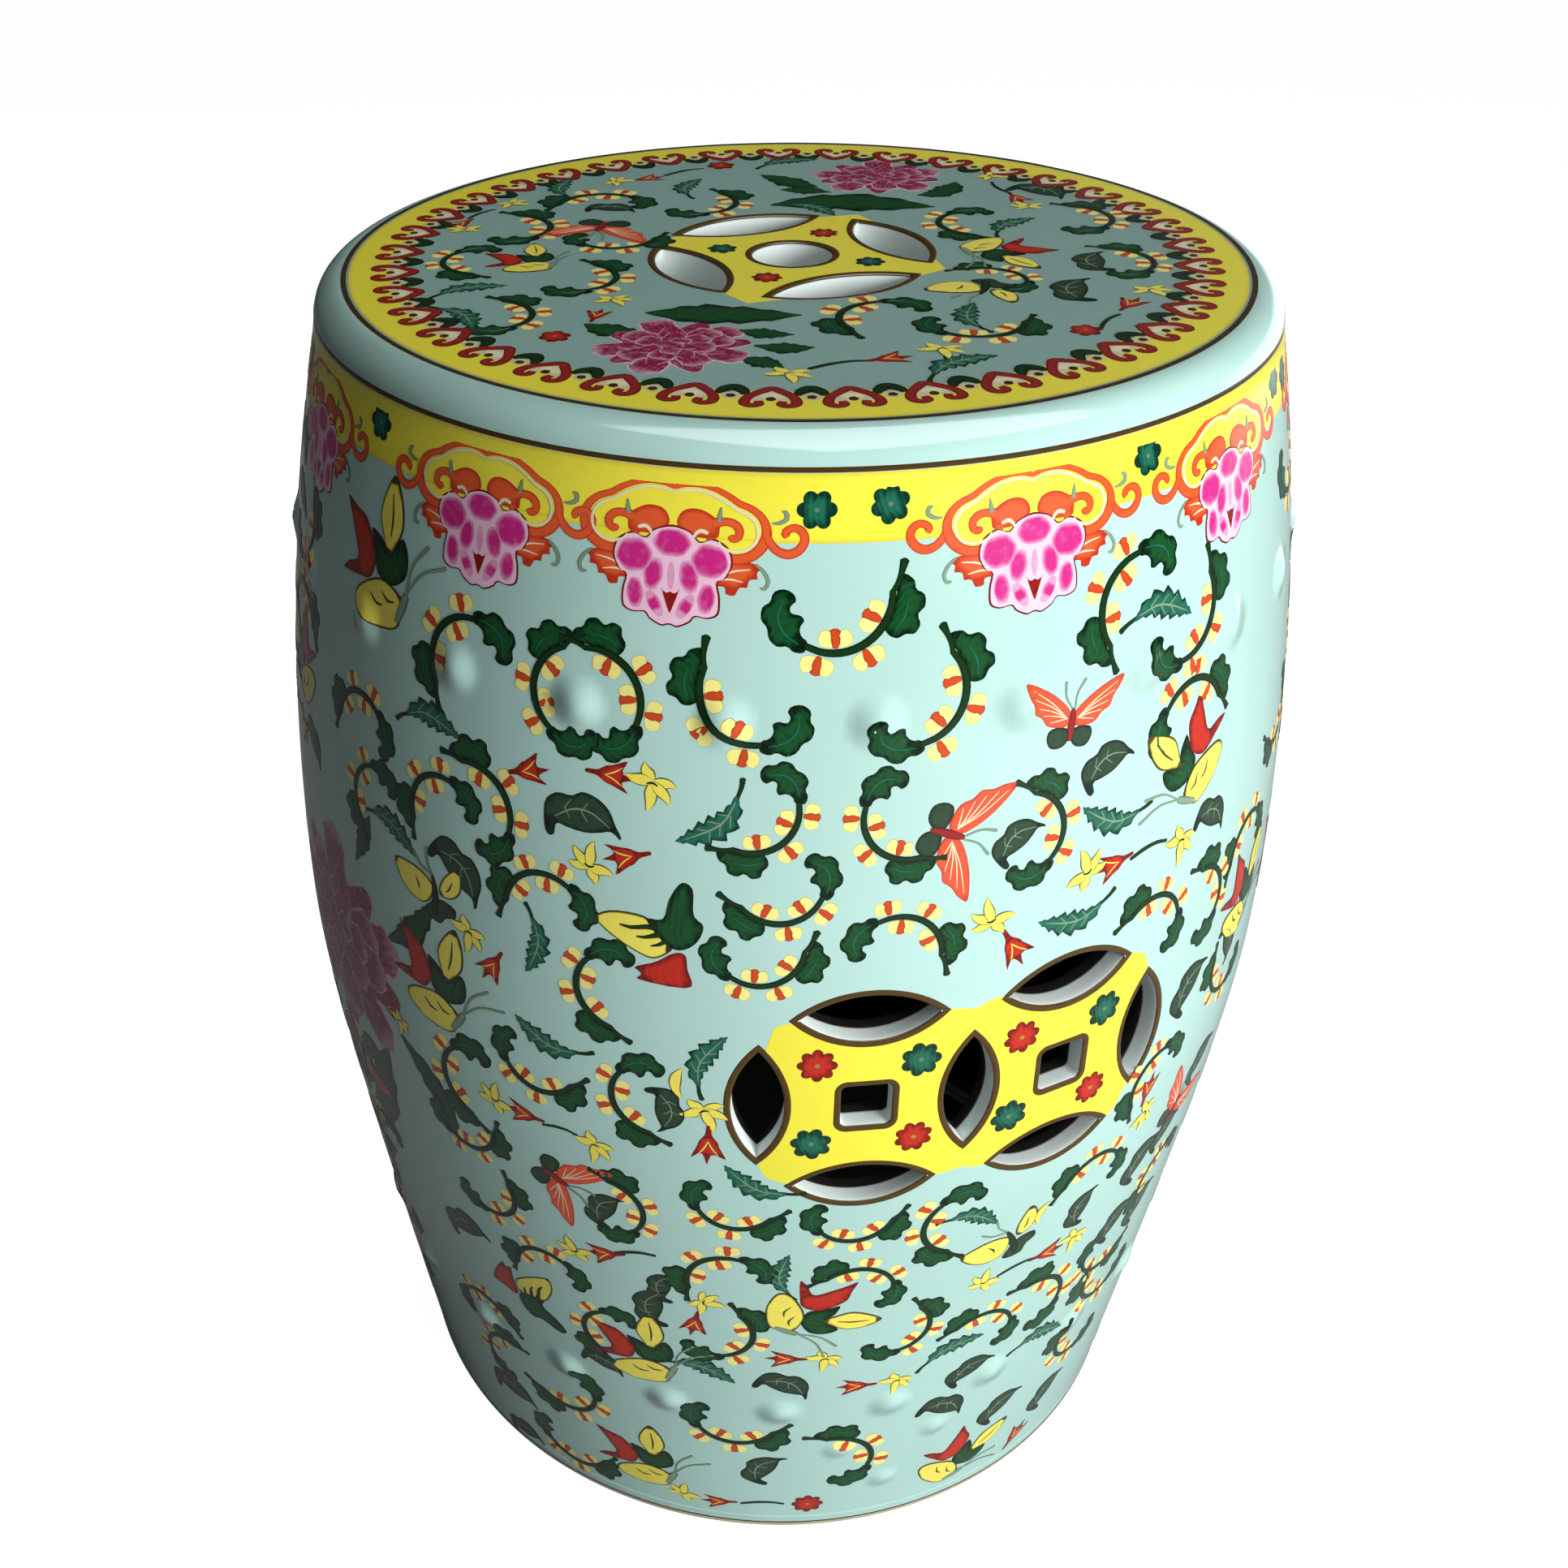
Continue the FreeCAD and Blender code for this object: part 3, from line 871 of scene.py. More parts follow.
def smoothCurve(rows, count, closed=False):
    # Catmull-Rom: each span is the cubic through its two rows with slopes taken from their neighbours.
    rows = np.asarray(rows, float)
    n = len(rows)
    if closed:
        t = np.linspace(0.0, n, count, endpoint=False)
        i = t.astype(int)
        a, b, c, d = [rows[(i + k) % n] for k in (-1, 0, 1, 2)]
    else:
        padded = np.vstack([2.0 * rows[0] - rows[1], rows, 2.0 * rows[-1] - rows[-2]])
        t = np.linspace(0.0, n - 1.0, count)
        i = np.minimum(t.astype(int), n - 2)
        a, b, c, d = [padded[i + k] for k in (0, 1, 2, 3)]
    f = (t - i)[:, None]
    return 0.5 * (2.0 * b + (c - a) * f + (2.0 * a - 5.0 * b + 4.0 * c - d) * f ** 2
                  + (3.0 * b - a - 3.0 * c + d) * f ** 3)


def makeShape(flat, lift, cells, faces):
    return {"flat": flat, "lift": lift, "cells": cells, "faces": faces}


def stroke(rows, count, layer, teeth=0, bite=0.35, wide=False):
    # A brush stroke: rows of place and half widths (left, right) joined by a smooth curve, with sawn sides
    # where it has teeth. Cells run along the stroke, and from 0 in its middle to 1 at its sides.
    rows = np.asarray(rows, float)
    if rows.shape[1] == 3:
        rows = rows[:, [0, 1, 2, 2]]
    path = smoothCurve(rows, count)
    middle, sides = path[:, :2], np.maximum(path[:, 2:], 0.05)
    share = np.linspace(0.0, 1.0, count)
    if teeth:
        sides = sides * (1.0 - bite * (share * teeth % 1.0))[:, None]
    run = np.gradient(middle, axis=0)
    run /= np.linalg.norm(run, axis=1, keepdims=True)
    left = np.stack([-run[:, 1], run[:, 0]], axis=-1)
    steps = np.array([-1.0, -0.93, -0.5, 0.0, 0.5, 0.93, 1.0] if wide else [-1.0, -0.9, 0.0, 0.9, 1.0])
    across = len(steps)
    reach = np.where(steps > 0.0, sides[:, :1], sides[:, 1:]) * steps
    body = middle[:, None] + left[:, None] * reach[..., None]
    tips = np.stack([middle[0] - run[0] * 0.7 * sides[0].mean(), middle[-1] + run[-1] * 0.7 * sides[-1].mean()])
    height = np.full((count, across), layers[layer])
    height[:, [0, -1]] = layers["under"]
    cells = np.stack(np.broadcast_arrays(share[:, None], np.abs(steps)[None, :]), axis=-1)
    quads = gridFaces(count, across)[:, ::-1]
    here, right = ringEdges(across).T
    last, total = (count - 1) * across, count * across
    start = np.stack([np.full(across, total), here, right], axis=-1)
    finish = np.stack([np.full(across, total + 1), right + last, here + last], axis=-1)
    return makeShape(np.concatenate([body.reshape(-1, 2), tips]), np.append(height.ravel(), [layers["under"]] * 2),
                     np.concatenate([cells.reshape(-1, 2), [[0.0, 1.0], [1.0, 1.0]]]),
                     np.concatenate([triangles(quads), start, finish]))


def enclosed(points, outline):
    # Even-odd rule: a ray to the right crosses the outline an odd number of times.
    a, b = outline, np.roll(outline, -1, axis=0)
    x, y = points[:, :1], points[:, 1:]
    spans = (a[:, 1] > y) != (b[:, 1] > y)
    drop = np.where(b[:, 1] == a[:, 1], 1.0, b[:, 1] - a[:, 1])
    cross = a[:, 0] + (y - a[:, 1]) * (b[:, 0] - a[:, 0]) / drop
    return (spans & (x < cross)).sum(axis=1) % 2 == 1


def filledShape(rim, layer, edge, depth, spacing):
    # A painted patch: a closed rim, a band just inside it, and loose points to fill the rest.
    # Cells run across the patch, and from 1 at its edge to 0 at the given depth.
    nextOne = np.roll(rim, -1, axis=0)
    if (rim[:, 0] * nextOne[:, 1] - rim[:, 1] * nextOne[:, 0]).sum() < 0.0:
        rim = rim[::-1]
    n = len(rim)
    run = np.roll(rim, -1, axis=0) - np.roll(rim, 1, axis=0)
    run /= np.maximum(np.linalg.norm(run, axis=1, keepdims=True), 1e-9)
    inner = rim + edge * np.stack([-run[:, 1], run[:, 0]], axis=-1)
    low, high = rim.min(axis=0), rim.max(axis=0)
    loose = gridPoints(*[np.arange(low[k] + 0.4 * spacing, high[k], spacing) for k in (0, 1)])
    loose = loose[enclosed(loose, inner)]
    if len(loose):
        loose = loose[gapTo(loose, inner) > 0.35 * spacing]
    flat, fill = triangulate(np.concatenate([inner, loose]), ringEdges(n), 1, 1e-6)
    fill = facingUp(flat, fill)[0]
    ring = np.linalg.norm(flat[None] - inner[:, None], axis=-1).argmin(axis=1)
    base = len(flat)
    under = layers["under"]
    points = np.concatenate([flat, rim, flat])
    lift = np.concatenate([np.full(base, layers[layer]), np.full(n, under), np.full(base, under - 0.1)])
    along = (points[:, 0] - low[0]) / max(high[0] - low[0], 1e-6)
    inward = 1.0 - np.clip(gapTo(flat, rim) / depth, 0.0, 1.0)
    inward = np.concatenate([inward, np.ones(n), inward])
    here, right = ringEdges(n).T
    skirt = np.stack([here + base, right + base, ring[right], ring], axis=-1)
    below = np.stack([right + base, here + base, ring + base + n, ring[right] + base + n], axis=-1)
    return makeShape(points, lift, np.stack([along, inward], axis=-1),
                     np.concatenate([fill, fill[:, ::-1] + base + n, triangles(skirt), triangles(below)]))


def patch(outline, count, layer, edge, depth, spacing):
    # The same from a few points of the outline, which a closed curve of count points runs through.
    return filledShape(smoothCurve(outline, count, closed=True), layer, edge, depth, spacing)


def oval(u, v, a, b, turn, ruffle, lobes, count):
    # Outline of an ellipse, optionally rippled: the radius grows and shrinks with the cosine of the angle.
    t = np.linspace(0.0, 2.0 * math.pi, count, endpoint=False)
    swell = 1.0 + ruffle * np.cos(lobes * t)
    return turned(np.stack([a * np.cos(t) * swell, b * np.sin(t) * swell], axis=-1), turn) + np.array([u, v])


def moved(shape, u=0.0, v=0.0, turn=0.0, size=1.0, flip=False):
    # A copy of a shape, mirrored left to right first, then scaled, turned and shifted.
    flat = shape["flat"] * size
    faces = shape["faces"]
    if flip:
        flat, faces = flat * np.array([-1.0, 1.0]), faces[:, ::-1]
    return makeShape(turned(flat, turn) + np.array([u, v]), shape["lift"], shape["cells"], faces)


def bothSides(stamp):
    # The stamp and its mirror image.
    return stamp + [(paint, moved(shape, flip=True)) for paint, shape in stamp]


class Enamel:
    # Collects the pressed shapes of one paint.
    def __init__(self):
        self.points, self.faces, self.cells, self.normals, self.total = [], [], [], [], 0

    def add(self, points, faces, cells, normals):
        self.points.append(points)
        self.faces.append(faces + self.total)
        self.cells.append(cells)
        self.normals.append(normals)
        self.total += len(points)

    def finish(self, name, material, slot):
        piece = addPiece(name, np.concatenate(self.points), [np.concatenate(self.faces)], material,
                         np.concatenate(self.normals), cells=np.concatenate(self.cells))
        print("painted", name, len(piece.data.polygons))


paints = {}


def addBody(paint, points, normals, faces, cells):
    paints.setdefault(paint, Enamel()).add(points.reshape(-1, 3), faces, cells.reshape(-1, 2), normals.reshape(-1, 3))


def onWall(a, z, u, v, lift):
    # Across the wall u turns into an angle at the height it lands on; v is height.
    high = z + v
    azimuth = a + np.degrees(u / wallRadius(high))
    return wallPoint(azimuth, high, lift), wallNormal(azimuth, high)


def onSeat(x, y, u, v, lift):
    # u and v are added to the place on the level seat.
    points = seatPoint(x + u, y + v, lift)
    return points, levelNormals(points)


# Each pressed shape is also raised by its own share of the spread, one step on from the shape before, so that
# overlapping shapes never lie in one plane: the spread in millimetres, the step, and the shapes pressed so far.
raising = {"spread": 0.018, "step": 0.618034, "shapes": 0}


def fullPlaces(places):
    # Places as rows of five, where a left out turn is 0, and a left out size or flip is 1.
    return np.array([(*place, *(0.0, 1.0, 1.0)[len(place) - 2:]) for place in places], float)


def press(stamp, places, surface):
    # Presses a stamp at every place: (azimuth or x, height or y, turn, size, flip), where flip -1 turns it over
    # about its u axis.
    places = fullPlaces(places)
    x, y, turn, size, flip = [places[:, k, None] for k in range(5)]
    c, s = np.cos(np.radians(turn)), np.sin(np.radians(turn))
    for paint, shape in stamp:
        u = shape["flat"][None, :, 0] * size
        v = shape["flat"][None, :, 1] * size * flip
        share = (raising["shapes"] + np.arange(len(places))) * raising["step"] % 1.0
        raised = raising["spread"] * share
        raising["shapes"] += len(places)
        points, normals = surface(x, y, c * u - s * v, s * u + c * v, shape["lift"] + raised[:, None])
        faces = np.broadcast_to(shape["faces"], (len(places),) + shape["faces"].shape).copy()
        back = flip[:, 0] < 0.0
        faces[back] = faces[back][:, :, ::-1]
        faces += (np.arange(len(places)) * len(shape["flat"]))[:, None, None]
        cells = np.broadcast_to(shape["cells"], (len(places),) + shape["cells"].shape)
        addBody(paint, points, normals, faces.reshape(-1, 3), cells)


# ---- the stamps: each is a list of (paint, shape) drawn in millimetres, u to the right and v up

scroll = {
    "radius": 16.0, "stem": 1.25, "half": 62.0,      # the stem's arc, degrees to each side of its middle
    "beads": ((29, -1), (-3, 1), (-31, -1), (-46, 1)),   # place on the arc; inside -1, outside 1
    "beadLift": 0.7,
}


def arcRows(turns, radii, halves):
    # Places on a circle round the stamp's middle, with half widths.
    t = np.radians(np.asarray(turns, float))
    return np.stack([radii * np.cos(t), radii * np.sin(t), halves], axis=-1)


def beadShapes():
    # Two cream lobes with a red band between, standing on the stem.
    lobes = patch([(-4.7, 0.6), (-5, 2.8), (-3.7, 4.9), (-1.9, 4.8), (-0.7, 4.1), (0.7, 4.1), (1.9, 4.8), (3.7, 4.9),
                   (5, 2.8), (4.7, 0.6), (2.6, -0.5), (-2.6, -0.5)], 26, "fill", 0.4, 1.6, 4.0)
    band = stroke([(0, -0.3, 0.9), (0.1, 1.8, 1.5), (-0.1, 3.2, 1.3), (0, 4.4, 1.7)], 6, "detail")
    return [("creamBeads", lobes), ("redBands", band)]


def scrollStamp():
    # A bow of stem with a hooked leaf at each end, lobed beads along it and pale veins in the leaves.
    s = scroll
    r = s["radius"]
    turns = np.linspace(s["half"], -s["half"], 9)
    stem = stroke(arcRows(turns, np.full(9, r), [0.9, 1.1, 1.25, 1.3, 1.3, 1.25, 1.2, 1.1, 1.0]), 18, "detail")
    tail = stroke([(7.9, 13.6, 0.8), (6.6, 16.2, 0.8), (4.6, 18.6, 0.9), (2.2, 21, 1.4)], 7, "detail")
    side = patch([(14.6, 6.8), (17.6, 6.6), (20, 8.2), (20.4, 10.8), (21.8, 13), (20.4, 15.8), (17.6, 16.6),
                  (16.8, 19.4), (13.8, 21), (11, 19.8), (8.6, 20.6), (5.4, 19.4), (5.6, 17), (8.4, 14.6), (11.6, 12),
                  (13.4, 9.6)], 42, "fill", 0.35, 3.6, 3.2)
    last = patch([(9, -15.4), (7.4, -18), (5, -18.8), (3.6, -21.2), (0.4, -22), (-2.6, -20.8), (-5.4, -21),
                  (-8.2, -18.8), (-8.4, -16.2), (-10.2, -13.8), (-9.4, -10.8), (-6.8, -9.2), (-4.6, -9.8),
                  (-4.2, -11.8), (-2.6, -12.6), (-0.8, -10.8), (1.2, -10.6), (2.2, -12.6), (4.4, -13.6), (6.8, -13)],
                 46, "fill", 0.35, 3.6, 3.2)
    stamp = [("greenStems", stem), ("greenStems", tail), ("greenLeaves", side), ("greenLeaves", last)]
    shine = stroke([(6, -15.6, 0.15), (1, -17.4, 0.4), (-3.8, -16.4, 0.4), (-6.6, -12.8, 0.15)], 7, "over")
    vein = stroke([(17.2, 9.2, 0.12), (15.8, 13, 0.35), (12.2, 16.6, 0.12)], 6, "over")
    stamp += [("tealLeaves", shine), ("tealLeaves", vein)]
    for turn, side in s["beads"]:
        t = math.radians(turn)
        reach = r + side * (s["stem"] + s["beadLift"])
        for paint, shape in beadShapes():
            stamp.append((paint, moved(shape, reach * math.cos(t), reach * math.sin(t), turn - 90.0 * side)))
    return stamp


def sideVeins(starts, rise, run, reach, thick, thin):
    # Short pale veins to both sides of a midrib, from each start along it.
    return [("greyTails", stroke([(a, rise, thick), (a + run, rise + reach * side, thin)], 3, "detail"))
            for a in starts for side in (-1, 1)]


def tealLeafStamp():
    # A feathery sawn leaf with a pale midrib.
    leaf = stroke([(-9.6, -2, 0.3, 0.3), (-6.8, 0.2, 2.6, 2.2), (-3, 1.4, 4.4, 3.8), (1, 1.2, 4.9, 4.4),
                   (5, 0.2, 3.8, 3.4), (8.2, -0.8, 2, 1.8), (10.6, -1.8, 0.2, 0.2)], 28, "fill", 7, 0.5, True)
    stalk = stroke([(-13.8, -4.6, 0.8), (-12, -3, 0.6), (-9.2, -1.4, 0.5)], 5, "fill")
    rib = stroke([(-8.4, -1, 0.15), (-3, 1.2, 0.3), (2, 0.9, 0.3), (8.4, -0.9, 0.12)], 8, "detail")
    return [("tealLeaves", leaf), ("greenStems", stalk), ("greyTails", rib)] + sideVeins(
        (-5, -1.6, 1.8), 1.1, 2.2, 2.4, 0.2, 0.12)


def podLeafStamp():
    # A plump leaf with a hooked foot and a pointed tip.
    leaf = patch([(-9.8, -6.6), (-8.6, -8.2), (-7, -7.4), (-6.4, -4.4), (-3.4, -4.8), (1.4, -5.2), (5.4, -4.4),
                  (8.4, -3.6), (10.6, -5.4), (11, -4.2), (9.4, -1.2), (7.8, 2.4), (4.4, 5.2), (0.4, 6), (-2.4, 4.4),
                  (-6.4, 4.4), (-9.6, 1.8), (-10.2, -2.4)], 44, "fill", 0.35, 3.4, 3.2)
    vein = stroke([(-7, -2.4, 0.12), (-2, 0.8, 0.28), (3, 0.8, 0.24), (8, -2.4, 0.12)], 8, "detail")
    return [("greyLeaves", leaf), ("greyTails", vein)] + sideVeins((-4.2, 0.4), 0.6, 1.6, 2.6, 0.18, 0.1)


def bladeStamp():
    # A short curved blade of yellow.
    rows = [(-6, -2.6, 0.2), (-2.6, 0.2, 1.7), (1.6, 1.2, 2), (6, 0.4, 0.2)]
    return [("yellowPetals", stroke(rows, 12, "fill"))]


def yellowFlowerStamp():
    # Five pointed petals, each of its own length, round a dark heart.
    stamp = []
    for turn, long, wide in ((-100, 8.6, 1.9), (-52, 7.6, 1.8), (-8, 6.4, 1.7), (170, 7.4, 1.9), (112, 5.6, 1.9)):
        rows = [(0, 0, 0.7), (0.34 * long, 0.2, wide), (0.7 * long, 0.5, 0.75 * wide), (long, 0.0, 0.15)]
        stamp.append(("yellowPetals", moved(stroke(rows, 8, "fill"), 0.0, 0.0, turn)))
    stamp.append(("greenStems", stroke([(-1.6, -0.6, 0.2), (0, -0.2, 0.4), (1.4, -1, 0.2)], 5, "detail")))
    return stamp


def redTulipStamp():
    # A small red flower from the side: a neck and three flaring points, opening to the right.
    cup = patch([(-7, -0.6), (-3.6, -1), (-1, -2.6), (1.4, -3.4), (6.4, -5.2), (4.2, -2), (8.6, -0.4), (4.4, 1.2),
                 (6, 5.2), (1.4, 3.4), (-0.8, 2.8), (-3.4, 1.2), (-7, 0.8)], 36, "fill", 0.3, 2.4, 3.0)
    lines = [("yellowPetals", stroke([(-1, 0, 0.12), (2.0, 1.2 * w, 0.3), (4.4, 3.0 * w, 0.1)], 4, "detail"))
             for w in (-1, 1)]
    return [("redPetals", cup)] + lines


def sprigStemStamp():
    # A short stem that joins two small flowers.
    rows = [(-8, -0.8, 0.7), (-2.4, 0.6, 0.8), (3.2, 0.8, 0.7), (8, -0.4, 0.6)]
    return [("greenStems", stroke(rows, 10, "low"))]


blossomCleft = 0.24   # how far the radius dips between two lobes


def blossomStamp(paint, size, lobes):
    # A small flower head seen from above: the radius dips by the cleft between round lobes, round a pale eye.
    t = np.linspace(0.0, 2.0 * math.pi, 10 * lobes, endpoint=False)
    radius = size * (1.0 - blossomCleft * (1.0 - np.abs(np.cos(0.5 * lobes * t)) ** 0.8))
    head = filledShape(np.stack([radius * np.cos(t), radius * np.sin(t)], axis=-1), "fill", 0.3, 0.8 * size, 2.6)
    eye = patch(oval(0.0, 0.0, 0.15 * size, 0.15 * size, 0.0, 0.1, 5, 12), 12, "detail", 0.2, 1.0, 3.0)
    return [(paint, head), ("greyTails" if paint == "tealLeaves" else "yellowPetals", eye)]


def lineOf(rows, count, layer):
    return ("brownLines", stroke(rows, count, layer))


def antennae(u, v, ends):
    # Thin bowed feelers from one point to each end.
    stamp = []
    for a, b in ends:
        bow = np.array([-(b - v), a - u]) * 0.12
        rows = [(u, v, 0.3), (0.5 * (u + a) + bow[0], 0.5 * (v + b) + bow[1], 0.35), (a, b, 0.55)]
        stamp.append(("greyTails", stroke(rows, 8, "detail")))
    return stamp


def mothStamp():
    # Two broad veined forewings, a banded body, and two grey hindwings; the head points up.
    wing = patch([(0.8, 3.4), (4.4, 7.4), (10, 11.2), (16, 14), (20.4, 15), (19.4, 11), (17, 7.6), (15.8, 4),
                  (12.6, 2.2), (10, -0.8), (6, -1.8), (1.6, -1.4)], 36, "fill", 0.4, 1.6, 3.0)
    hind = patch([(0.6, -2.6), (5.2, -1.4), (8.8, -2.6), (9.4, -6), (7.2, -9.2), (3, -9.2), (0.4, -6.6)], 22, "low",
                 0.4, 3.0, 3.0)
    veins = [("creamLines", stroke([(2, 1.4, 0.1), (0.5 * a, 0.5 * b + 0.9, 0.22), (a, b, 0.1)], 7, "detail"))
             for a, b in ((17.6, 12.6), (16.6, 9.6), (14.6, 6.2), (12, 3.2), (9, 0.4))]
    body = stroke([(0, 4.6, 0.8), (0, 1.4, 1.5), (0, -3, 1.4), (0, -6.6, 0.7)], 8, "over")
    stamp = bothSides([("orangeWings", wing), ("greyLeaves", hind)] + veins)
    return stamp + [("deepRed", body)] + antennae(0.6, 5.0, ((3.6, 15),)) + antennae(-0.6, 5.0, ((-4.4, 14.4),))


def yellowMothStamp():
    # Two outlined yellow wings, a dark body, two dark hindwings and two feelers.
    left = patch([(-0.6, 0.6), (-4, 2.6), (-9, 2.8), (-15, 1.2), (-21, -2.6), (-17.6, -7.4), (-11, -10.6),
                  (-4.4, -9.8), (-1, -6)], 32, "fill", 0.55, 4.0, 3.2)
    up = patch([(1.2, 1.2), (0.8, 5.6), (2.4, 11), (5.4, 15.6), (8.6, 13.2), (9.8, 7), (7.4, 2.2), (3.6, 0)], 28,
               "fill", 0.55, 4.0, 3.2)
    body = stroke([(-3, 5, 0.5), (-0.6, 1, 1.3), (1.4, -4, 1.7), (2.6, -9, 1.3)], 9, "detail")
    hind = patch([(1, -3), (4.6, -0.6), (10, -0.4), (11, -4.2), (7.6, -7), (6, -11), (1, -12), (-2.6, -10.6),
                  (-1, -6.6)], 30, "low", 0.4, 3.0, 3.2)
    marks = [lineOf([(-9.6, -1.4, 0.15), (-7.4, -3.2, 0.5), (-6.6, -5.2, 0.2)], 5, "detail"),
             lineOf([(5.4, 9, 0.15), (5.2, 5.8, 0.4), (4.4, 3.6, 0.2)], 5, "detail")]
    return [("yellowPetals", left), ("yellowPetals", up), ("greenStems", body),
            ("greyLeaves", hind)] + marks + antennae(-3.0, 5.0, ((-8.6, 13.4), (-13.6, 7.2)))


def threeColourStamp():
    # A resting butterfly: a forked red wing, an outlined yellow one, green between them, and a yellow belly.
    red = patch([(-18.6, 12), (-13, 10.6), (-8.2, 9.6), (-4.6, 5.6), (-2, 0.4), (-4.2, -5.6), (-9.6, -7.2),
                 (-19, -8.2), (-16.4, -5.2), (-11.4, -2.4), (-13.8, 3.2), (-16.4, 8)], 38, "fill", 0.35, 5.0, 3.2)
    upper = patch([(3.6, 2.2), (0.4, 7), (-1.6, 12.4), (0.2, 19), (3.8, 24), (7.6, 19.4), (9.2, 12), (7, 6.4)], 30,
                  "detail", 0.6, 4.0, 3.2)
    green = patch([(-5.2, 7.6), (0, 6.6), (4, 4), (8.6, 9), (11.6, 5), (11, -1.2), (4.6, -5.2), (-1.6, -3.2),
                   (-2.8, 1.8)], 30, "fill", 0.35, 5.0, 3.2)
    belly = patch([(-11.6, -11), (-5.6, -6.4), (1.6, -3.8), (8.6, -5.6), (10.6, -8.4), (8.6, -15.6), (-1.6, -18),
                   (-10.6, -15.6)], 30, "detail", 0.5, 4.0, 3.2)
    body = stroke([(8.4, -13.6, 0.9), (10.2, -9.4, 1.5), (11.8, -5.4, 1.2)], 7, "over")
    marks = [lineOf([(3.8, 19, 0.15), (4.4, 13, 0.4), (4, 8, 0.2)], 6, "over"),
             lineOf([(-4, -9.4, 0.15), (-1, -11.4, 0.45), (2, -11, 0.15)], 5, "over"),
             lineOf([(1.4, -7.4, 0.15), (4.2, -9.2, 0.45), (7, -8.6, 0.15)], 5, "over")]
    return ([("redPetals", red), ("yellowPetals", upper), ("greenLeaves", green), ("yellowPetals", belly),
             ("greyTails", body)] + marks + antennae(11.8, -5.0, ((19, 9.6), (25.6, 6))))


def fanStamp():
    # A yellow wing combed with dark fingers, a green wing above it and a red fan below.
    yellow = patch([(-25, 3.6), (-19, 7.2), (-9, 7.2), (-5, 3), (-2, -1), (0, -3), (-3.6, -6.6), (-8, -7.6),
                    (-16, -4), (-22, 0)], 34, "fill", 0.55, 4.0, 3.2)
    green = patch([(-3.4, 7), (-1.6, 14), (2, 20), (5.6, 18), (6, 9.6), (9, 6), (7, 0), (2, -3.4), (-3, -1.6),
                   (-8.6, 6)], 34, "detail", 0.35, 5.0, 3.2)
    red = patch([(0, -4.4), (-5.6, -8.4), (-12, -11.4), (-10, -13.6), (-10.6, -16), (5, -16.4), (4.4, -9.6),
                 (3.6, -4.6)], 28, "fill", 0.35, 5.0, 3.2)
    fingers = [("greenStems", stroke(rows, 7, "over")) for rows in (
        [(-16.6, 2.8, 0.3), (-13, 2.4, 0.7), (-8.6, 3.4, 0.9), (-4.6, 3.8, 1.3)],
        [(-11.4, -0.4, 0.3), (-8.6, -0.2, 0.6), (-4.4, 1.4, 1.1)],
        [(-7, -3, 0.2), (-4.6, -2.2, 0.6), (-2, -0.4, 0.9)])]
    return [("yellowPetals", yellow), ("greenLeaves", green), ("redPetals", red)] + fingers


def petal(u, v, a, b, turn, ruffle=0.03, layer="over"):
    # Magenta in its middle, pale at its rim.
    return [("pinkPetals", patch(oval(u, v, a, b, turn, ruffle, 6, 20), 24, layer, 0.5, 1.5, 2.6))]


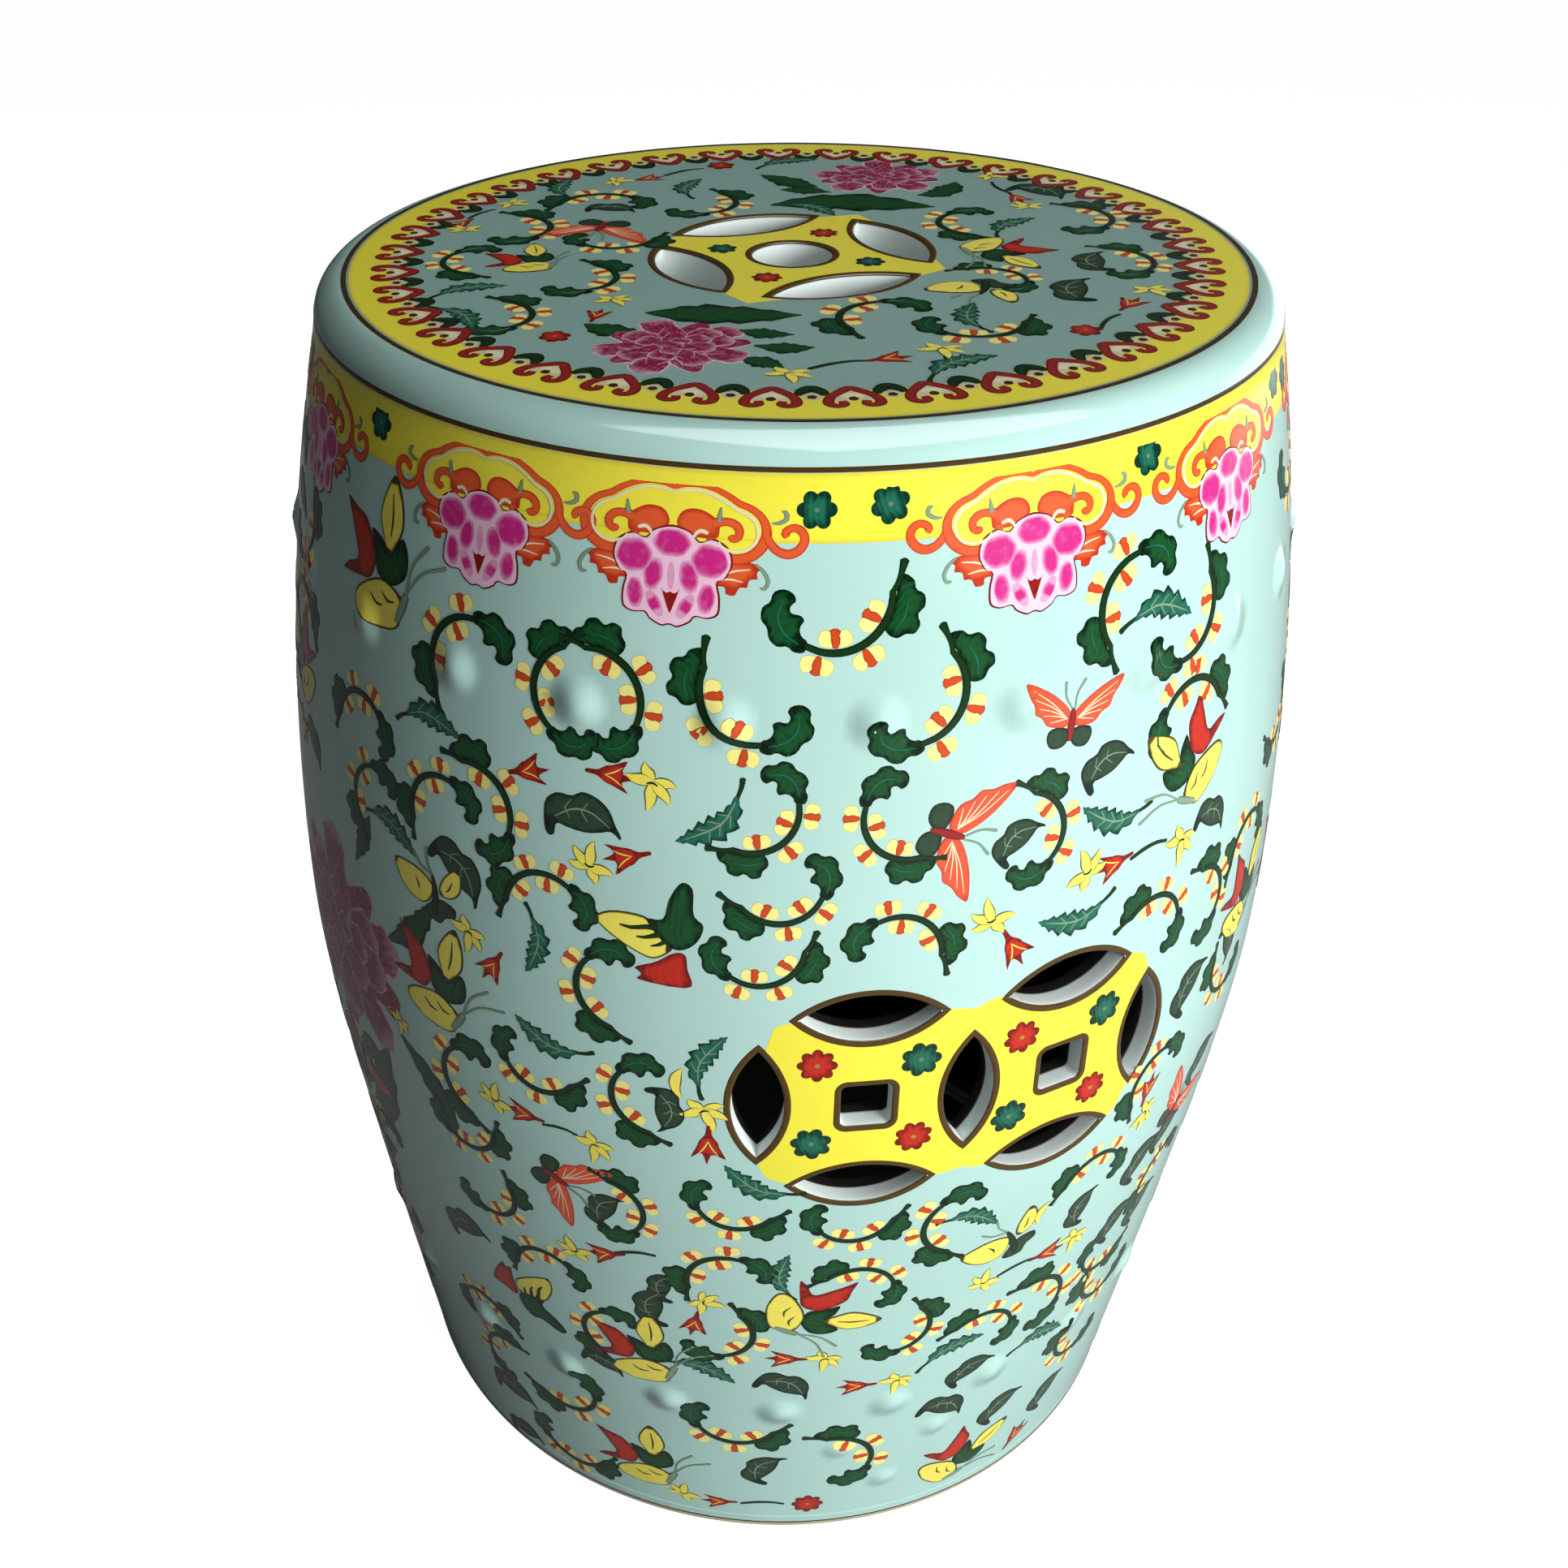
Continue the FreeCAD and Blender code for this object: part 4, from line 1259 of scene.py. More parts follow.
def lappetStamp():
    # A cloud collar with a hanging blossom: right half drawn, left half mirrored. Its right-hand hook comes apart.
    band = stroke([(0, 14.4, 0.7), (2.8, 15.3, 0.8), (6.8, 15.5, 0.85), (10.8, 14.7, 0.85), (14.8, 12.9, 0.9),
                   (17.5, 11.2, 0.95), (21.3, 9.7, 1), (24.2, 7, 1.2), (25.2, 3.5, 1.5), (24, 0, 1.7),
                   (21, -2.6, 1.6), (17, -3.4, 1.5), (13.2, -2.2, 1.3), (10.8, 0.4, 1.3), (10.4, 2.6, 1.4)], 40,
                  "fill")
    hook = stroke([(25, 3.4, 1.2), (26.4, 1, 1.2), (28.4, -0.9, 1.25), (31.2, -1.7, 1.35), (33.9, -0.6, 1.4),
                   (35.3, 2, 1.35), (34.4, 4.4, 1.25), (32.2, 5.3, 1.15), (30.1, 4.2, 1.2), (30.5, 3, 1)], 26, "fill")
    lobe = patch([(0.7, 5.3), (1.5, 7.7), (3.5, 9.2), (6.8, 9.5), (10.1, 8.3), (12.6, 6.2), (12.9, 3.6), (12.1, 1.6),
                  (7.5, 1.4), (4.1, 1.8), (1.8, 3.4)], 30, "fill", 0.5, 3.5, 3.0)
    curl = stroke([(11, 5.6, 1.6), (13.6, 6.3, 1.2), (16.2, 6, 1.2), (17.9, 4.4, 1.25), (17.7, 2.5, 1.2),
                   (16.3, 1.9, 1.1), (15.6, 2.6, 0.8)], 16, "detail")
    inner = stroke([(0, 12.9, 0.25), (2.8, 13.8, 0.35), (6.8, 14, 0.4), (10.6, 13.1, 0.4), (14.2, 11.3, 0.4),
                    (17.2, 9.5, 0.4), (20.6, 8, 0.45), (22.5, 5.6, 0.45), (22.9, 2.9, 0.45), (21.8, 0.4, 0.45),
                    (19.5, -1, 0.4), (16.5, -1.4, 0.4), (13.7, -0.4, 0.35), (12.6, 1, 0.25)], 30, "detail")
    stamen = stroke([(5.3, 0.8, 0.3), (6.4, 2.8, 0.5), (7.8, 3.6, 0.6), (9.6, 3, 0.5)], 8, "line")
    spark = stroke([(12.5, 6.4, 0.9), (12.6, 8, 0.6), (12.8, 10, 0.15)], 6, "over")
    tick = stroke([(26.4, 6.4, 0.2), (28.4, 6.5, 0.55), (30.2, 7.6, 0.7), (29.9, 9.2, 0.6), (28.8, 9.6, 0.2)], 9,
                  "detail")
    ruffle = patch([(13.8, -3.4), (17.5, -3.6), (22.1, -4.2), (25, -5.6), (23.4, -6.8), (23.6, -8.6), (21.4, -9),
                    (20.9, -11), (18.8, -11.2), (17.6, -13.3), (15, -13), (14.6, -11.2), (12, -11), (10.4, -9.6),
                    (12.1, -7)], 44, "low", 0.35, 4.0, 3.0)
    veins = [("creamLines", stroke([(13.6, -8.2, 0.15), (17, -6.6, 0.3), (21.4, -6, 0.1)], 6, "fill")),
             ("creamLines", stroke([(13.2, -9.2, 0.15), (16, -8.8, 0.3), (19.6, -9.4, 0.1)], 6, "fill"))]
    tail = stroke([(22.8, -4.6, 0.3), (25, -6.4, 0.5), (26.4, -9, 0.55), (25.6, -11, 0.5), (24.4, -10.8, 0.3)], 9,
                  "fill")
    right = [("cloudScrolls", band), ("cloudScrolls", lobe), ("cloudScrolls", curl), ("creamLines", inner),
             ("creamLines", stamen), ("greyTails", spark), ("cloudScrolls", ruffle), ("greyTails", tail)] + veins
    right += petal(10.4, -4.4, 5.5, 5.0, -10.0, 0.03, "top") + petal(4.9, -9.0, 3.1, 5.0, 12.0)
    right += petal(9.9, -14.6, 2.9, 4.7, -4.0) + petal(4.3, -17.0, 2.3, 4.4, -30.0)
    # the cluster's own pale ground and its crimson outline, right half and left half
    side = np.array([(0, 4.3), (5, 3), (7.4, 0.6), (11, 1.6), (15.2, -0.8), (16.4, -5), (14.6, -9), (12.6, -10),
                     (13.4, -14), (13.2, -18.4), (10.4, -19.9), (7, -19.6), (5.6, -21.2), (2.4, -22.8), (0.5, -22.4)])
    cluster = np.concatenate([side, side[:0:-1] * np.array([-1.0, 1.0])])
    field = patch([(-23.4, 1.7), (0, 1.7), (23.4, 1.7), (22.6, -0.6), (19, -2.4), (10, -3), (0, -3), (-10, -3),
                   (-19, -2.4), (-22.6, -0.6)], 40, "low", 0.3, 2.0, 3.0)
    ground = [("yellowGround", field), ("pinkPetals", patch(cluster, 90, "detail", 0.3, 500.0, 2.6)),
              ("deepRed", patch(cluster * 1.03 + np.array([0.0, 0.3]), 90, "line", 0.3, 2.0, 3.0))]
    heart = patch([(-2.7, -12.4), (-1.1, -13.4), (0, -12.9), (1.1, -13.4), (2.7, -12.4), (1.8, -15.8), (0, -19.6),
                   (-1.8, -15.8)], 24, "lapped", 0.4, 2.5, 3.0)
    petals = petal(0.0, -0.2, 5.7, 4.2, 0.0, 0.03, "top") + petal(0.0, -9.0, 1.5, 4.2, 0.0, 0.02)
    middle = ground + petals + [("redPetals", heart)]
    return bothSides(right) + middle, [("cloudScrolls", hook), ("greyTails", tick)]


def borderStamps():
    # Seat border, u along the rim and v outwards from the arches' mid radius: a red heart-shaped arch with
    # curled feet, cream inside and a dark eye; and the small dark arch that joins it to the next.
    arch = stroke([(-3.3, 2, 1.3), (-2.9, 4.2, 1.5), (-4.6, 5.4, 1.6), (-6.6, 4.2, 1.7), (-6.9, 1.2, 1.7),
                   (-5.6, -2, 1.7), (-3, -5, 1.8), (0, -7.4, 1.9), (3, -5, 1.8), (5.6, -2, 1.7), (6.9, 1.2, 1.7),
                   (6.6, 4.2, 1.7), (4.6, 5.4, 1.6), (2.9, 4.2, 1.5), (3.3, 2, 1.3)], 42, "fill")
    pale = patch([(-5.4, 1.4), (-4.6, -1.6), (-2, -4.6), (0, -6), (2, -4.6), (4.6, -1.6), (5.4, 1.4), (3.4, 2.4),
                  (1.6, 1.2), (0, 0.6), (-1.6, 1.2), (-3.4, 2.4)], 30, "low", 0.4, 2.5, 3.0)
    eye = patch(oval(0.0, 0.3, 1.6, 1.6, 0.0, 0.05, 5, 12), 12, "detail", 0.3, 1.5, 3.0)
    small = stroke([(-3.9, -0.6, 1.2), (-2.8, -3.4, 2), (0, -5.6, 2.5), (2.8, -3.4, 2), (3.9, -0.6, 1.2)], 14, "fill")
    halo = patch(oval(0.0, 0.6, 3.0, 3.0, 0.0, 0.05, 5, 14), 14, "low", 0.4, 3.0, 3.0)
    dot = patch(oval(0.0, 0.9, 1.6, 1.6, 0.0, 0.08, 5, 12), 12, "detail", 0.3, 1.5, 3.0)
    big = [("deepRed", arch), ("creamLines", pale), ("brownLines", eye)]
    return big, [("greenStems", small), ("creamLines", halo), ("brownLines", dot)]


def onRim(turn, radius, u, v, lift):
    # Round the seat: u turns about the middle, v moves towards it. The azimuth is the wall's.
    angle = np.radians(turn) + u / radius
    reach = radius - v
    points = seatPoint(reach * np.sin(angle), -reach * np.cos(angle), lift)
    return points, levelNormals(points)


peony = {
    # Each ring: petals, radius, length, width, layer, turn of the first.
    "rings": ((10, 14.6, 7.6, 6.0, "low", 0.0), (9, 10.2, 6.8, 5.2, "fill", 17.0),
              (7, 6.2, 5.4, 4.4, "detail", 5.0), (4, 2.8, 4.0, 3.2, "over", 30.0)),
    "sway": 7.0, "uneven": 0.08,   # how far petals stray round their ring, degrees, and from its radius
}


def peonyStamp():
    # Rings of ruffled petals over one another, shorter inwards, round a small heart.
    stamp = []
    for count, reach, long, wide, layer, first in peony["rings"]:
        for k in range(count):
            turn = first + 360.0 * k / count + peony["sway"] * math.sin(5.0 * k + first)
            t = math.radians(turn)
            far = reach * (1.0 + peony["uneven"] * math.sin(3.0 * k + 2.0))
            rows = [(-long, 0.0, 0.4 * wide), (-0.3 * long, 0.0, 0.85 * wide), (0.35 * long, 0.3, wide),
                    (0.75 * long, 0.0, 0.95 * wide), (long, 0.0, 0.5 * wide)]
            leaf = stroke(rows, 13, layer, 3, 0.12, True)
            stamp.append(("peonyPetals", moved(leaf, far * math.cos(t), far * math.sin(t), turn, 1.0, k % 2 == 1)))
    heart = patch(oval(0.0, 0.0, 3.6, 3.2, 0.0, 0.12, 6, 24), 24, "top", 0.5, 3.0, 3.0)
    return stamp + [("peonyPetals", heart)]


def peonyLeaf(rows):
    # A dark sawn leaf, low enough for the flower to cover its foot.
    return [("greenLeaves", stroke(rows, 18, "low", 5, 0.3, True))]


# ---- bands, grounds and outlines

def ringBand(paint, rows, lifts, surface, columns):
    # A closed band all the way round: rows across it (one value or one per column), the first and last dipped
    # under the glaze and joined below.
    turns = np.linspace(-180.0, 180.0, columns, endpoint=False)
    rows = np.array([np.broadcast_to(row, turns.shape) for row in rows], float)
    turn = np.broadcast_to(turns, rows.shape)
    lift = np.broadcast_to(np.asarray(lifts, float)[:, None], rows.shape)
    points, normals = surface(turn, rows, lift)
    share = np.abs(2.0 * (rows - rows[0]) / (rows[len(rows) // 2] - rows[0]) - 1.0)
    cells = np.stack([(turn + 180.0) / 360.0, share], axis=-1)
    addBody(paint, points, normals, triangles(tubeFaces(len(rows), columns)), cells)


def wallRing(turn, z, lift):
    # On the wall, at an azimuth and a height.
    return wallPoint(turn, z, lift), wallNormal(turn, z)


def seatRing(turn, radius, lift):
    # On the seat, at a radius; turned the other way round, so that the band's faces look up.
    angle = np.radians(turn)
    points = seatPoint(-radius * np.sin(angle), -radius * np.cos(angle), lift)
    return points, levelNormals(points)


def band(paint, low, high, layer, steps, surface, columns):
    # Rows from low to high, level at the layer's height between dipped edges, and back again underneath.
    top, under = layers[layer], layers["under"]
    low, high = np.asarray(low, float), np.asarray(high, float)
    inside = [low + 0.3 + (high - low - 0.6) * s for s in np.linspace(0.0, 1.0, steps)]
    lifts = [under] + [top] * steps + [under] + [under - 0.1] * steps
    ringBand(paint, [low] + inside + [high] + inside[::-1], lifts, surface, columns)


def groundSheet(rim, mouths, grow, clear, halfSize, surface):
    # Yellow ground inside a rim and round the holes' mouths, as a closed sheet: the same triangles above and below,
    # and a short skirt along every border edge, which is an edge that only one triangle has.
    g = coinGround
    loose = gridPoints(*[np.arange(-half, half, g["spacing"]) for half in halfSize])
    loose = loose[enclosed(loose, rim) & clear(loose, grow + g["mouthGap"]) & (gapTo(loose, rim) > g["rimGap"])]

    def keep(middle):
        return enclosed(middle, rim) & clear(middle, grow - g["slack"])

    flat, faces = fillBetween([rim] + mouths, loose, keep)
    count = len(flat)
    upper, normals = surface(flat, layers["ground"])
    lower = surface(flat, layers["under"])[0]
    a, b = np.concatenate([faces[:, [0, 1]], faces[:, [1, 2]], faces[:, [2, 0]]]).T
    border = ~np.isin(a * count + b, b * count + a)
    a, b = a[border], b[border]
    skirt = triangles(np.stack([b, a, a + count, b + count], axis=-1))
    cells = np.stack([flat[:, 0] / g["cellLength"] % 1.0, np.zeros(count)], axis=-1)
    addBody("yellowGround", np.concatenate([upper, lower]), np.concatenate([normals, normals]),
            np.concatenate([faces, faces[:, ::-1] + count, skirt]), np.concatenate([cells, cells]))


def outlineStrip(at, edge, width):
    # A brown line round a hole's mouth, following its rounded edge; at(grow, lift) gives the loop.
    top = layers["fill"]
    profile = [(edge + width, layers["under"]), (edge + width - 0.3, top), (edge + 0.5 * width, top)]
    for lean in (0.0, 18.0, 36.0, 54.0, 64.0):
        reach = edge + (top if lean < 60.0 else -0.1)
        t = math.radians(lean)
        profile.append((edge - reach * math.sin(t), reach * math.cos(t) - edge))
    points = np.stack([at(grow, lift) for grow, lift in profile])
    n, count = points.shape[:2]
    quads = tubeFaces(n, count)
    side = np.cross(points[2, 1] - points[2, 0], points[1, 0] - points[2, 0])
    onTop = abs(side[2]) >= 0.7 * np.linalg.norm(side)
    outward = np.array([0.0, 0.0, 1.0]) if onTop else points[2, 0] * np.array([1.0, 1.0, 0.0])
    if side @ outward <= 0.0:
        quads = quads[:, ::-1]
    run, across = np.linspace(0.0, 1.0, count)[None, :], np.linspace(-1.0, 1.0, n)[:, None] ** 2
    cells = np.stack(np.broadcast_arrays(run, across), axis=-1)
    addBody("brownLines", points, np.full(points.shape, np.nan), triangles(quads), cells)


coinGround = {
    # The yellow ground's outline round the double coin: arc length and height from its middle, millimetres.
    "outline": [(-64.3, 25.5), (-58.7, 33.0), (-33.3, 34.6), (-8.3, 34.0), (0.0, 33.0), (8.0, 35.0), (33.3, 34.6),
                (58.5, 34.0), (66.7, 25.5), (68.6, 0.0),
                (63.5, -27.0), (56.0, -34.5), (33.3, -34.8), (6.5, -34.5), (0.0, -33.0), (-10.5, -34.5),
                (-33.3, -34.8), (-59.0, -32.5), (-66.7, -24.0), (-68.6, 0.0)],
    "mouth": 0.25, "line": 1.5, "seatLine": 1.6,   # start of the ground beyond a rim's rounding, widths of the lines
    # Loose points, how far they reach and how far they stay from the mouths and the rim; slack for what is kept.
    "spacing": 4.0, "halfSize": (70.0, 36.0), "seatHalfSize": (44.0, 44.0), "mouthGap": 1.4, "rimGap": 1.2,
    "slack": 0.3,
    "cellLength": 140.0,
    # Blossoms between the holes: paint, size, lobes, and azimuth from the panel's middle with height.
    "blossoms": (("redPetals", 6.5, 8, ((-15.5, 267), (5.3, 267), (-5.5, 235), (14.8, 234.5))),
                 ("tealLeaves", 6.8, 7, ((-5.3, 266.5), (15.3, 266.5), (-15.8, 235), (4.8, 235)))),
    # Corners of the star on the seat; the middles of its hollow sides are moved out by the hollow and in by the pull.
    "star": np.array([(-40.0, 28.0), (37.0, 36.0), (41.0, -31.0), (-30.0, -43.0)]), "hollow": 24.0, "pull": 0.42,
    "seatBlossoms": (("tealLeaves", 5.2, 7, [(-20, 13), (21, -16, 30)]),
                     ("redPetals", 5.2, 8, [(18, 19), (-16, -21, 20)])),
}


def coinPanel(centre):
    # Yellow ground between the holes, brown lines round their mouths.
    g, radius = coinGround, barrel["bellyRadius"]
    grow = panel["edge"] + g["mouth"]
    mouths = [unrolled(throughWall(hole, 0.0, sideHoleOutline(hole, grow), 0.0)) - [0.0, panel["height"]]
              for hole in sideHoles]

    def surface(flat, lift):
        azimuth, z = centre + np.degrees(flat[:, 0] / radius), flat[:, 1] + panel["height"]
        return wallPoint(azimuth, z, lift), wallNormal(azimuth, z)

    groundSheet(smoothCurve(g["outline"], 160, closed=True), mouths, grow, clearOfSideHoles, g["halfSize"], surface)
    for hole in sideHoles:
        outlineStrip(lambda grow, lift: throughWall(hole, centre, sideHoleOutline(hole, grow), 0.0, lift),
                     panel["edge"], g["line"])
    for paint, size, lobes, spots in g["blossoms"]:
        places = [(centre + a, z, 10.0 * k) for k, (a, z) in enumerate(spots)]
        press(blossomStamp(paint, size, lobes), places, onWall)


def seatCoin():
    # A four-pointed yellow star between the lenses, brown lines round the holes, four small blossoms.
    g = coinGround
    rim = []
    for a, b in zip(g["star"], np.roll(g["star"], -1, axis=0)):
        middle = 0.5 * (a + b)
        bow = middle * (1.0 + g["hollow"] / np.linalg.norm(middle) - g["pull"])
        start, end = [0.55 * corner + 0.45 * bow * 0.96 for corner in (a, b)]
        rim.append(smoothCurve([a, start, bow, end, b], 24)[:-1])
    grow = seat["edge"] + g["mouth"]
    mouths = [seatHoleOutline(hole, grow) for hole in seatHoles]

    def surface(flat, lift):
        return onSeat(flat[:, 0], flat[:, 1], 0.0, 0.0, lift)

    groundSheet(np.concatenate(rim)[::-1], mouths, grow, clearOfSeatHoles, g["seatHalfSize"], surface)
    for hole in seatHoles:
        outlineStrip(lambda grow, lift: seatPoint(*seatHoleOutline(hole, grow).T, lift), seat["edge"], g["seatLine"])
    for paint, size, lobes, places in g["seatBlossoms"]:
        press(blossomStamp(paint, size, lobes), places, onSeat)


# ---- where the painter put things, read off the photo

# Scrolls on the wall: azimuth, height, turn of the arc's middle, size, flip. The last three may be left out, as in
# every list of places.
wallScrolls = [
    (-51.9, 382, 150, 0.96), (-39.5, 383, 171, 0.9, -1), (-38.1, 383, 39, 0.92), (-22.4, 390, -144, 0.96, -1),
    (-51.4, 338, 46, 0.92), (-55.2, 330, 140, 0.87), (-68.6, 342, 113, 0.89), (-42.7, 310, 117, 0.86),
    (-65.7, 320, 165, 0.85), (-22.4, 355, -51, 0.85, -1), (-7.5, 352, -136, 0.85), (3.9, 340, 15, 0.85),
    (-15.1, 417, -58, 0.97), (-7.6, 389, -17, 0.96), (17.5, 401, 156, 0.96), (23.4, 394, -30, 0.96),
    (25.1, 356, 80, 0.93, -1), (-19.7, 332, -82, 0.85, -1), (-8.3, 306, 55, 0.85, -1), (-21.4, 310, -65, 0.85),
    (-34.9, 288, -163, 0.89), (-31.5, 248, -157, 0.88), (-44, 253, -92, 0.85), (-52.2, 229, -168, 0.97),
    (-55.3, 209, -61, 0.85), (-37.5, 193, 22, 0.85), (-23.2, 207, -94, 0.85), (20.8, 288, 73, 0.85),
    (29.1, 286, 29, 0.85), (40, 290, 117, 0.85), (39.2, 248, -140, 0.85, -1), (26.4, 218, 148, 0.85),
    (-10.8, 201, -78, 0.85), (1.7, 188, -169, 0.92), (18.8, 182, 102, 0.85), (-24, 163, 137, 0.9),
    (-9.8, 158, 80, 0.85), (-54, 177, -32, 0.85), (-46.4, 141, 119, 0.85), (-37.9, 118, 177, 0.85),
    (-26, 134, -14, 0.91), (-4.7, 133, -13, 0.86), (7.3, 114, 77, 0.87), (14.4, 119, 44, 0.97),
    (27.6, 129, -103, 0.85), (36.1, 149, 154, 0.85), (30.8, 108, -134, 0.97, -1), (-48.5, 70, -68, 1, -1),
    (-60, 86, 84, 0.85, -1), (-57.1, 63, 137, 0.85, -1), (-23.3, 78, -88, 0.98), (-10.4, 49, 38),
    (-48.3, 29, -83, 0.94), (29, 74, -148, 0.9, -1),
]

# On the seat: x, y, turn, size, flip.
seatScrolls = [
    (-83, 60, 0, 0.95), (-45, 76, 95, 0.95), (-12, 69, -28, 0.9), (-98, 25, 180, 0.85), (-50, 38, -88, 0.85),
    (73, 13, 175, 0.9), (104, 8, 0, 0.9), (-75, -1, -18, 0.9), (-108, -29, -5, 0.85), (94, -41, 5, 0.85),
    (6, -70, 140, 0.95), (29, -80, -85, 0.9), (49, -46, 40, 0.75),
]

wallMoths = [(8.8, 372.5, -8, 0.84), (-3.6, 345, -112, 0.95), (-43, 200, -118, 0.95), (34, 188, -40)]
wallYellowMoths = [(-56.5, 302, -20, 0.95), (8.5, 170, 0, 0.95)]
wallThreeColours = [(-66, 402, 0, 1.15), (25, 345, -135, 1, -1), (-57, 266, -12, 1.1), (-14, 147, -95),
                    (-35, 113, 0, 1.05), (-36.5, 38, 0, 1.05), (10, 29, -52), (41, 272, -30)]
wallFans = [(-29.5, 310), (-51, 118, -115, 0.95)]
seatMoths = [(-52, 50, 150)]
seatThreeColours = [(-84, 22, -10, 0.75), (66, -20, 200, 0.85)]
seatYellowMoths = [(44, -54, -10, 0.9, -1)]

tealLeafPlaces = [
    (20.5, 397, -12, 1.21), (-57, 361, 0, 1.15), (-26, 350, -138, 1.15), (14, 338, 160, 1.15), (10, 307, 180, 1.15),
    (-63, 316, -15, 1.15), (-44, 297, -97, 1.03), (-43, 262, 162, 1.15), (-26.2, 267, 67, 1.09),
    (-21.3, 216, 150, 1.15), (3, 188, -25, 1.03), (-18, 170, 90, 1.03), (4, 112, 20, 1.15), (-27, 109, -20, 1.15),
    (19, 93, -10, 1.15),
]
podLeafPlaces = [
    (-39, 347, 0, 1.18), (3, 340, 35, 0.85), (13, 357, 20, 0.94), (30, 320, -30, 0.94), (-53, 315, -40, 1.18),
    (-38, 192, 60, 0.94), (29, 254, 45, 1.12), (38.5, 257, -70), (38, 203, 40, 1.06), (18, 169, 70, 0.94),
    (28, 174, 50, 1.12), (33, 178, 35, 0.94), (-33.5, 143, 80, 1.06), (-60, 143, 20, 1.18), (27, 143, 45, 1.06),
    (33, 138, 50, 1.06), (-17, 104, -30, 1.06), (-40.5, 99, -20, 0.85), (7, 94, 30), (5, 73, -30, 1.06),
    (14.5, 55, 40, 1.06), (-20, 45, 60, 1.06), (-59, 42, 0, 1.18), (25, 40, 50, 1.06), (-30, 245, -85, 0.89),
    (-32, 156, 75, 0.83), (-59, 12, 10, 0.94),
]
bladePlaces = [(-29, 257, 75), (12, 178, 60, 0.9)]
yellowFlowerPlaces = [
    (-31.8, 361, 0, 1.1), (-38, 330, 180, 1.04), (1, 313, 200, 1.04), (11.5, 321, 10, 1.1, -1), (24.5, 318, 0, 1.1),
    (-52, 293, 0, 1.04), (-26.5, 247, 30, 1.1), (-50, 226, 180, 1.04), (-38, 223, 0, 1.04), (26, 203, -60, 1.04),
    (-42, 162, 210, 1.04), (6, 148, 180, 0.99), (19, 152, 0, 1.04), (-27, 151, 90, 0.99), (-12.5, 120, 0, 0.99),
    (-3, 100, 0, 0.99), (-31, 18, 180, 0.99), (-64, 237, 0, 0.77),
]
redTulipPlaces = [
    (-36.2, 361, 0, 0.99), (-34, 336, 200, 0.99), (3.4, 303, -60, 1.04), (15, 321, 190, 0.99), (-45, 356, 20, 0.99),
    (-49, 284, -120, 0.99), (-26, 233, -90, 1.1), (-46, 226, 180, 0.99), (25, 215, 80, 0.99), (-38, 167, 200, 1.04),
    (14.5, 151, 0, 1.04), (-28, 138, -100, 0.99), (-17, 120, 180, 0.99), (-8, 100, 180, 0.99), (-25.5, 17, 190, 0.94),
    (21, 18, 60, 1.1), (-66.5, 238, 0, 0.66),
]
sprigStemPlaces = [(19.5, 321), (-42, 225, 0, 0.8), (-34.8, 171, 15, 1.05), (10.4, 151, 5), (-19.5, 18.5, 2, 1.05)]
redBlossomPlaces = [(-13, 18)]
tealBlossomPlaces = [(-68, 442), (-17, 440), (-10, 441, 20), (18.6, 442, 10), (46, 442)]

seatTealLeaves = [(-52, 105, 70, 1.1), (-8, 90, 60, 1.1), (38, 112, 5, 1.1), (-116, -28, -75, 1.1),
                  (30, -75, 70, 1.1), (10, -112, 20, 1.21), (-108, -2, 5, 1.1), (82, 8, 30, 1.1), (25, 48, -60, 1.04)]
seatPodLeaves = [(111, 44, -60, 1.1), (69, -62, 60, 1.1), (88, -38, 65, 0.99), (-42, 73, -30, 0.88)]
seatYellowFlowers = [(-75, 90, 60, 0.9), (-97, 63, 200, 0.9), (-32, 106, 90, 0.9), (101, 68, 60, 0.9),
                     (97, 26, 200, 0.9), (-68, -26, 20, 0.9), (-38, -104), (10, -99), (92, -70, 20, 0.95)]
seatRedTulips = [(-96, 71, 220, 0.8), (-20, 106, 10, 0.9), (98, 38, -90, 0.9), (-77, -40, 60, 0.8),
                 (-8, -102, 0, 0.95), (79, -81, 40, 0.95)]
seatSprigStems = [(-88, 80, 35, 0.9), (-4, 111, 15, 1.1), (98, 52, 88), (-22, -102, 0, 1.2), (66, -93, 40)]
seatRedBlossoms = [(12, 115, 0, 1.1), (-93, -54), (56, -98)]
peonyPlaces = [(62, 80), (-62, -73, 20)]

lappets = {
    "azimuths": (-83.0, -51.5, -30.7, 4.5, 32.0, 63.0, 94.0, 125.0, 156.0, -173.0, -142.0, -112.0), "height": 430.0,
    "cut": -30.7,   # its left-hand hook is lost where two transfers meet
}
wallBands = {
    "columns": 480,
    # Each band: paint, lower and upper edge, layer, rows across.
    "bands": (("yellowGround", 431.0, 449.6, "ground", 4), ("brownLines", 449.4, 451.2, "low", 2),
              ("brownLines", 3.3, 4.5, "low", 2)),
}
# Pairs of arches round the seat, the azimuth of the first and the radii of both; the ground under them and its line.
seatBorder = {
    "pairs": 37, "start": -2.6, "arch": 131.0, "joint": 128.8,
    "inner": 127.3, "wave": 2.6, "outer": 145.0, "line": (145.4, 147.4), "columns": 740,
}

